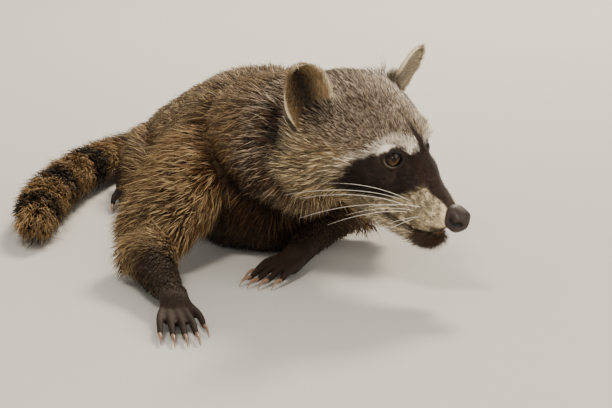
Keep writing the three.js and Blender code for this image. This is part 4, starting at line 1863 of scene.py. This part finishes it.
@dataclass(frozen=True)
class Eye:
    """An eye: a ball with a bulging cornea behind two lids, in the head's frame, in millimetres.

    sunk is how deep the ball lies along its gaze, open the angle from the gaze to the lids' edge,
    and a pair of angles holds where one ring of the iris ends and the next is whole.
    """

    side: Side
    sunk: float = 2.4
    at: Place = (37.8, 16.9, 9.2)
    looks: Place = (0.74, 0.60, 0.22)
    radius: float = 7.0
    open: float = 0.92
    pupil_ends: Pair = (0.17, 0.26)
    iris_darkens: Pair = (0.38, 0.56)
    iris_ends: Pair = (0.66, 0.74)
    pupil: str = "#030202"
    iris_dark: str = "#180d07"
    # Amber of the iris where painted light falls on its lower part.
    iris_light: str = "#71491f"
    iris_edge: str = "#120a07"
    outer: str = "#0d0806"
    lid_dark: str = "#0c0806"
    lid_light: str = "#857a69"

    @property
    def centre(self) -> Array:
        """Middle of the ball in the row frame, sunk into the head along its gaze."""
        x, y, z = self.at
        middle = placed(np.array([x, y * self.side.value, z]) * MM, HEAD)
        return middle - self.gaze * self.sunk * MM

    @property
    def gaze(self) -> Array:
        """Unit direction in which it looks."""
        ahead, out, up = self.looks
        return unit(HEAD[:3, :3] @ unit(np.array([ahead, out * self.side.value, up])))

    def ball(self) -> tuple[Surface, Array]:
        """The eyeball, coloured by the angle from its axis, with a streaked iris painted lighter
        below, as if lit from above through the cornea.

        Returns:
            The surface and the colour of each corner.
        """
        angles = np.concatenate([np.linspace(0, 1.3, 48), np.linspace(1.4, np.pi, 16)])
        radii = (self.radius - 0.2) * MM * (1 + 0.05 * np.exp(-((angles / 0.55) ** 2)))
        surface = ball(self.centre, self.gaze, radii, angles, 64)
        away = unit(surface.verts - self.centre)
        count = len(away)
        off = np.arccos(np.clip(away @ self.gaze, -1, 1))
        across, up = around(self.gaze)
        spoke = np.arctan2(away @ up, away @ across)
        streak = 0.5 + 0.3 * np.sin(spoke * 23 + 4 * np.sin(spoke * 5)) + 0.2 * np.sin(spoke * 41)
        # Painted light: the iris is amber below and dark above, as if lit from above through the
        # cornea.
        low = 0.5 - 0.5 * np.sin(spoke)
        light = (0.2 + 0.6 * streak) * (0.06 + 0.94 * low**1.5)
        iris = mixed(plain(tone(self.iris_dark), count), tone(self.iris_light), light)
        iris = mixed(iris, tone(self.iris_edge), smooth(*self.iris_darkens, off))
        colour = mixed(plain(tone(self.pupil), count), iris, smooth(*self.pupil_ends, off))
        return surface, mixed(colour, tone(self.outer), smooth(*self.iris_ends, off))

    def opening(self, turn: Array) -> Array:
        """Angle from the gaze at which the lids' edge lies.

        The opening is an almond: wider than high, with a corner towards the nose.

        Args:
            turn: turns round the gaze.

        Returns:
            The angle for each turn.
        """
        high = np.sin(turn)
        front = -self.side.value * np.cos(turn)
        return self.open * (1 - 0.16 * np.abs(high)) + 0.10 * np.exp(-((front - 1) ** 2) / 0.05)

    def lid(self) -> tuple[Surface, Array]:
        """The lids' rim, a ring on the ball, lighter below and behind.

        Returns:
            The surface and the colour of each corner.
        """
        count, sides = 72, 10
        across, up = around(self.gaze)
        turn = np.linspace(0, 2 * np.pi, count, endpoint=False)
        off = self.opening(turn)
        square = off + np.pi / 2
        ring = np.cos(turn)[:, None] * across + np.sin(turn)[:, None] * up
        way = np.cos(off)[:, None] * self.gaze + np.sin(off)[:, None] * ring
        outer = unit(np.cos(square)[:, None] * self.gaze + np.sin(square)[:, None] * ring)
        middle = self.centre + way * (self.radius + 0.25) * MM
        a = np.linspace(0, 2 * np.pi, sides, endpoint=False)[None, :, None]
        thick = (0.72 + 0.22 * np.sin(turn)) * MM
        section = np.cos(a) * way[:, None] * 0.8 + np.sin(a) * outer[:, None] * 1.25
        loop = middle[:, None] + thick[:, None, None] * section
        i, k = np.meshgrid(np.arange(count), np.arange(sides), indexing="ij")
        here, onward = i * sides, (i + 1) % count * sides
        beside_k = (k + 1) % sides
        quads = np.stack([here + k, here + beside_k, onward + beside_k, onward + k], -1)
        rear = self.side.value * np.cos(turn)
        light = np.repeat(smooth(0.2, 0.95, 0.55 * rear - 0.75 * np.sin(turn)), sides)
        colours = mixed(plain(tone(self.lid_dark), count * sides), tone(self.lid_light), 0.45 * light)
        surface = Surface(loop.reshape(-1, 3), quads.ravel(), np.full(count * sides, 4))
        return surface, colours


EYES = (Eye(Side.LEFT, sunk=4.4), Eye(Side.RIGHT))


@dataclass(frozen=True)
class Dent:
    """A dent with soft edges in the head's frame: middle and radii in millimetres, and its depth."""

    at: Place
    radii: Place
    deep: float


@dataclass(frozen=True)
class NosePad:
    """The bare nose with its nostrils and groove, in the head's frame, in millimetres.

    A nostril is the deepest of its dents at each place, sunk back and towards the midline.
    """

    nostril: tuple[Dent, ...] = (
        Dent((88.4, 5.4, -15.0), (3.2, 2.8, 2.2), 1.0),
        Dent((85.8, 6.8, -15.4), (3.2, 2.8, 2.4), 1.0),
        Dent((84.0, 7.6, -14.0), (2.4, 2.8, 2.8), 0.7),
        Dent((83.2, 8.0, -12.0), (2.0, 2.8, 2.6), 0.4),
    )
    sunk_back: float = 2.4
    sunk_inward: float = 3.0
    groove_deep: float = 1.2
    groove_wide: float = 0.55
    leather: str = "#32261f"
    # Near black of the painted shade in the nostrils, the groove and under the pad.
    hollow: str = "#070505"

    def shape(self) -> tuple[Surface, Array]:
        """The pad, with painted shade in its nostrils and groove and on its underside.

        Returns:
            The surface and the colour of each corner.
        """
        shape = Limb("nose", NOSE_PAD, FACE, "nose", blunt=2.6, place=HEAD).skin(96, 90)
        spots = local(shape.verts, HEAD) / MM
        dark = np.zeros(len(spots))
        for side in Side:
            deep = np.zeros(len(spots))
            for dent in self.nostril:
                off = (spots - np.array(dent.at) * (1, side.value, 1)) / np.array(dent.radii)
                deep = np.maximum(deep, dent.deep * np.exp(-(off**2).sum(1)))
            spots[:, 0] -= self.sunk_back * deep
            spots[:, 1] -= side.value * self.sunk_inward * deep
            # Painted shade: the shallow nostril dents are coloured near black, as their depth would
            # be in shadow.
            dark = np.maximum(dark, smooth(0.15, 0.8, deep))
        x, y, z = spots[:, 0], spots[:, 1], spots[:, 2]
        # Painted shadow on the underside of the pad.
        dark = np.maximum(dark, 0.8 * (1 - smooth(-23.0, -20.0, z)))
        groove = np.exp(-((y / self.groove_wide) ** 2))
        groove = groove * smooth(84, 88, x) * (1 - smooth(-14, -12, z))
        spots[:, 0] -= self.groove_deep * groove
        shape.verts = placed(spots * MM, HEAD)
        # Painted shade in the nostrils and the groove and under the pad.
        share = np.maximum(dark * 1.3, groove * 0.7)
        return shape, mixed(plain(tone(self.leather), len(spots)), tone(self.hollow), share)


@dataclass(frozen=True)
class Bristle:
    """A whisker's root in the head's frame, its length, both in millimetres, and how it rises."""

    root: Place
    long: float
    lift: float


@dataclass(frozen=True)
class Whiskers:
    """Long pale bristles of the lips and chin, which rise from their roots and then droop."""

    bristles: tuple[Bristle, ...] = (
        Bristle((50, 13.8, -14), 62, 0.16),
        Bristle((53, 13.4, -16.5), 58, 0.05),
        Bristle((57, 12.9, -12.5), 50, 0.2),
        Bristle((61, 12.4, -17), 40, 0.0),
        Bristle((65, 11.6, -13), 30, 0.1),
        Bristle((69, 10.2, -17.5), 20, -0.2),
        Bristle((55, 12.8, -20.5), 42, -0.25),
        Bristle((63, 11.4, -21), 26, -0.45),
        Bristle((47, 13.4, -20), 50, -0.12),
        Bristle((66, 6, -31), 12, -0.8),
        Bristle((60, 8, -32), 14, -0.8),
    )
    radii: Table = Table((0, 0.6, 1), (0.21, 0.15, 0.05))
    droop: Place = (-0.1, 0.0, -0.38)

    def shape(self) -> Surface:
        """The whiskers of both sides.

        Returns:
            The whiskers as one surface.
        """
        rng = np.random.default_rng(SEED + 40)
        made = []
        t = np.linspace(0, 1, 14)[:, None]
        for side in Side:
            for hair in self.bristles:
                x, y, z = hair.root
                root = np.array([x, y * side.value, z])
                back = -0.8 + rng.normal(0, 0.07)
                way = unit(np.array([back, side.value * 0.55, hair.lift + rng.normal(0, 0.07)]))
                long = hair.long * t * rng.uniform(0.9, 1.1)
                sag = np.array(self.droop) * hair.long * t**2
                points = placed((root + way * long + sag) * MM, HEAD)
                made.append(bar(points, self.radii(t[:, 0]) * MM, 5))
        return all_joined(made)


# ---- assembly


@dataclass(frozen=True)
class CoatPlan:
    """A coat over one group of limbs: its slot, how many pieces, most tufts and lengths in a tuft."""

    name: str
    group: str
    slot: str
    pieces: int
    most: int
    segments: int


COAT_PLANS = (
    CoatPlan("trunk", "trunk", "coat", 2, 38_000, 2),
    CoatPlan("neck", "neck", "coat", 1, 14_000, 2),
    CoatPlan("face", "head", "crown", 3, 84_000, 1),
    CoatPlan("ruff", "head", "crown", 1, 8_000, 2),
    CoatPlan("ears", "ears", "ear", 1, 30_000, 1),
    CoatPlan("forelegs", "forelegs", "coat", 2, 22_000, 2),
    CoatPlan("hind_legs", "hind_legs", "coat", 1, 9_000, 2),
    CoatPlan("paws", "paws", "paw", 1, 18_000, 1),
    CoatPlan("tail", "tail", "tail_light", 1, 10_000, 2),
)


@dataclass
class Raccoon:
    """The whole animal: skin, coat, eyes, nose, claws and whiskers."""

    limbs: list[Limb]
    grain: bpy.types.NodeTree
    verts: Array = field(default_factory=lambda: np.zeros((0, 3)))
    quads: Array = field(default_factory=lambda: np.zeros((0, 4), int))

    def shape_skin(self) -> None:
        """Fuses the body and each paw, makes the face finer and joins the ears to them."""
        own = [limb for limb in self.limbs if limb.group not in ("paws", "ears")]
        body = fused([part.skin() for part in own + body_lumps()], BODY_VOXEL)
        verts, quads = body.verts, body.fours()
        x, y, _ = (local(verts, HEAD) / MM).T
        edges = edges_of(quads)
        crisp = (0.6 * smooth(40, 50, x) * (np.abs(y) < 25))[:, None]
        verts = relaxed(verts, edges, 8) * (1 - crisp) + relaxed(verts, edges, 2) * crisp
        for least in (6, 12):
            x, y, z = (local(verts[quads].mean(1), HEAD) / MM).T
            verts, quads = refined(verts, quads, (x > least) & (np.abs(y) < 40) & (np.abs(z) < 45))
        self.verts, self.quads = verts, quads
        self.carve_face()
        for paw in PAWS:
            shell = fused([limb.skin() for limb in paw.limbs()], paw.voxel * MM)
            shell.verts = relaxed(shell.verts, edges_of(shell.fours()), 2)
            self.join(shell)
        for limb in self.limbs:
            if limb.group == "ears":
                self.join(limb.skin(64, 56))
        self.verts[:, 2] = np.maximum(self.verts[:, 2], FLOOR_CLEARANCE)

    def join(self, shell: Surface) -> None:
        """Adds a closed shell to the skin."""
        self.quads = np.vstack([self.quads, shell.fours() + len(self.verts)])
        self.verts = np.vstack([self.verts, shell.verts])

    def carve_face(self) -> None:
        """Sinks the eyes behind their lids and cuts the mouth."""
        mouth_deep, lip_tip = 2.0, 76
        edges = edges_of(self.quads)
        x, y, _ = (local(self.verts, HEAD) / MM).T
        is_face = ((x > 4) & (np.abs(y) < 42))[:, None]
        self.verts = np.where(is_face, relaxed(self.verts, edges, 3), self.verts)
        for eye in EYES:
            self.carve_eye(eye)
        spots = local(self.verts, HEAD) / MM
        deep = mouth_deep * FaceMap().mouth(spots)
        x, y, _ = spots.T
        inward = unit(np.stack([np.where(x > lip_tip, 0.8, 0.1), y, np.zeros(len(spots))], 1))
        self.verts = placed((spots - inward * deep[:, None]) * MM, HEAD)

    def carve_eye(self, eye: Eye) -> None:
        """Draws the skin over the ball as lids with a fold, and sinks it within their opening.

        Args:
            eye: the eye.
        """
        off = self.verts - eye.centre
        far = np.linalg.norm(off, axis=1)
        way = off / far[:, None]
        across, up = around(eye.gaze)
        angle = np.arccos(np.clip(way @ eye.gaze, -1, 1))
        edge = eye.opening(np.arctan2(way @ up, way @ across))
        cover, sunk, reach = ((eye.radius + more) * MM for more in (0.8, -2.2, 11))
        near = (angle < 1.5) & (far < reach)
        lid = 1 - smooth(0.15, 0.75, angle - edge)
        fold = np.exp(-(((angle - edge - 0.34) / 0.12) ** 2)) * 0.7 * MM
        drawn = np.maximum(far, cover)
        drawn = drawn + (cover - drawn) * lid * 0.9 - fold
        inside = 1 - smooth(-0.10, 0.02, angle - edge)
        size = np.where(near, drawn * (1 - inside) + sunk * inside, far)
        self.verts = eye.centre + way * size[:, None]

    def add_skin_and_coat(self) -> None:
        """The skin, then the coat's pieces over it, with the same markings."""
        normals = normals_of(self.verts, self.quads)
        edges = edges_of(self.quads)
        edges = edges[edges[:, 0] != edges[:, 1]]
        lie = lie_of_coat(self.verts, normals, edges, self.limbs)
        dress = Dresser(self.verts, normals, lie, self.limbs).dressed()
        self.add_skin(dress)
        hair = HAIR.material(self.grain)
        groups = np.array([limb.group for limb in self.limbs])[lie.nearest[self.quads[:, 0]]]
        fine = dress.long[self.quads[:, 0]] < LONGEST_FINE_TUFT
        for order, coat in enumerate(COAT_PLANS):
            own = [i for i, limb in enumerate(self.limbs) if limb.group == coat.group]
            bands = {i: own.index(i) if i in own else 0 for i in range(len(self.limbs))}
            chosen = groups == coat.group
            if coat.group == "head":
                chosen &= fine if coat.segments == 1 else ~fine
            roots = rooted(self.verts, self.quads, normals, lie, dress, chosen,
                           coat.most, bands, SEED + order)
            fur = Tufts(roots, coat.segments, SEED + 20 + order).grown()
            total = len(roots.at)
            for k in range(coat.pieces):
                first, last = total * k // coat.pieces, total * (k + 1) // coat.pieces
                part = fur.part(first, last, total)
                name = f"coat_{coat.name}_{k + 1}"
                add_piece(name, part.surface, hair, part.tones, part.uv)

    def add_skin(self, dress: Dress) -> None:
        """The skin as one piece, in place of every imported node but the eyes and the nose.

        Args:
            dress: colours and measures of the coat at its corners.
        """
        sizes = np.where(self.quads[:, 2] != self.quads[:, 3], 4, 3)
        loops = self.quads[np.arange(4) < sizes[:, None]]
        skin = Surface(self.verts, loops, sizes)
        piece = add_piece("skin", skin, SKIN.material(self.grain), dress.mean())
        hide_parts(*[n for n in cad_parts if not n.startswith(("eye", "nose"))])

    def add_details(self) -> None:
        """Eyes, lids, nose, claws and whiskers."""
        wet, rim = WET_EYE.material(self.grain), LID.material(self.grain)
        for eye in EYES:
            surface, colours = eye.ball()
            piece = add_piece(f"eye_{eye.side.word}_ball", surface, wet, colours)
            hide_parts(f"eye_{eye.side.word}")
            surface, colours = eye.lid()
            add_piece(f"lid_{eye.side.word}", surface, rim, colours)
        surface, colours = NosePad().shape()
        piece = add_piece("nose", surface, LEATHER.material(self.grain), colours)
        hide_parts("nose_pad")
        horn = HORN.material(self.grain)
        for paw in PAWS:
            add_piece(f"claws_{paw.name}", paw.claws(), horn)
        add_piece("whiskers", Whiskers().shape(), BRISTLE.material(self.grain))


# ---- studio


@dataclass(frozen=True)
class Lamp:
    """A round area light aimed at the animal's shoulder."""

    name: str
    at: Place
    size: float
    power: float
    colour: Place
    aim: Place = (0.0, -0.05, 0.06)

    def add(self) -> None:
        """Puts the lamp in the scene."""
        data = bpy.data.lights.new(self.name, "AREA")
        data.shape = "DISK"
        data.size = self.size
        data.energy = self.power
        data.color = self.colour
        lamp = bpy.data.objects.new(self.name, data)
        lamp.location = self.at
        way = Vector(self.aim) - Vector(self.at)
        lamp.rotation_euler = way.to_track_quat("-Z", "Y").to_euler()
        bpy.context.scene.collection.objects.link(lamp)


@dataclass(frozen=True)
class Studio:
    """Pale floor, soft lights and an even sky."""

    reach: float = 9
    floor: Row = (0.62, 0.6, 0.56, 1)
    sky: Row = (0.95, 0.93, 0.88, 1)
    sky_power: float = 0.55
    lamps: tuple[Lamp, ...] = (
        Lamp("key", (-0.4, -1.3, 1.7), 0.5, 24, (1.0, 0.92, 0.80)),
        Lamp("rim", (0.4, 1.5, 1.4), 0.5, 55, (1.0, 0.88, 0.70)),
        Lamp("fill", (1.5, -0.9, 0.9), 1.2, 10, (1.0, 0.93, 0.82)),
        Lamp("glint", (0.30, -1.62, 0.66), 0.24, 5, (1.0, 0.96, 0.9)),
    )

    def add(self) -> None:
        """Puts the floor, the lamps and the sky in the scene."""
        r = self.reach
        mesh = bpy.data.meshes.new("floor")
        mesh.from_pydata([(-r, -r, 0), (r, -r, 0), (r, r, 0), (-r, r, 0)], [], [(0, 1, 2, 3)])
        floor = bpy.data.objects.new("floor", mesh)
        paint = bpy.data.materials.new("Floor")
        paint.use_nodes = True
        shader = paint.node_tree.nodes["Principled BSDF"]
        shader.inputs["Base Color"].default_value = self.floor
        shader.inputs["Roughness"].default_value = 0.9
        mesh.materials.append(paint)
        bpy.context.scene.collection.objects.link(floor)
        for lamp in self.lamps:
            lamp.add()
        world = bpy.data.worlds.new("studio")
        bpy.context.scene.world = world
        world.use_nodes = True
        sky = world.node_tree.nodes["Background"]
        sky.inputs["Color"].default_value = self.sky
        sky.inputs["Strength"].default_value = self.sky_power


@dataclass(frozen=True)
class Camera:
    """Long lens from in front, a little above; its tilt is in degrees up from straight down."""

    lens: float = 135
    sensor: float = 36
    sees: float = 50
    at: Place = (0, -1.510, 0.3757)
    tilt: float = 77

    def add(self) -> None:
        """Puts the camera in the scene."""
        data = bpy.data.cameras.new("camera")
        data.lens = self.lens
        data.sensor_width = self.sensor
        data.clip_end = self.sees
        camera = bpy.data.objects.new("camera", data)
        camera.location = self.at
        camera.rotation_euler = (math.radians(self.tilt), 0, 0)
        bpy.context.scene.collection.objects.link(camera)
        bpy.context.scene.camera = camera


def main() -> None:
    """Builds the animal and its studio."""
    logging.basicConfig(level=logging.INFO, format="%(name)s: %(message)s")
    raccoon = Raccoon(body_limbs(), grain_group())
    raccoon.shape_skin()
    raccoon.add_skin_and_coat()
    raccoon.add_details()
    Studio().add()
    Camera().add()


if __name__ == "__main__":
    main()
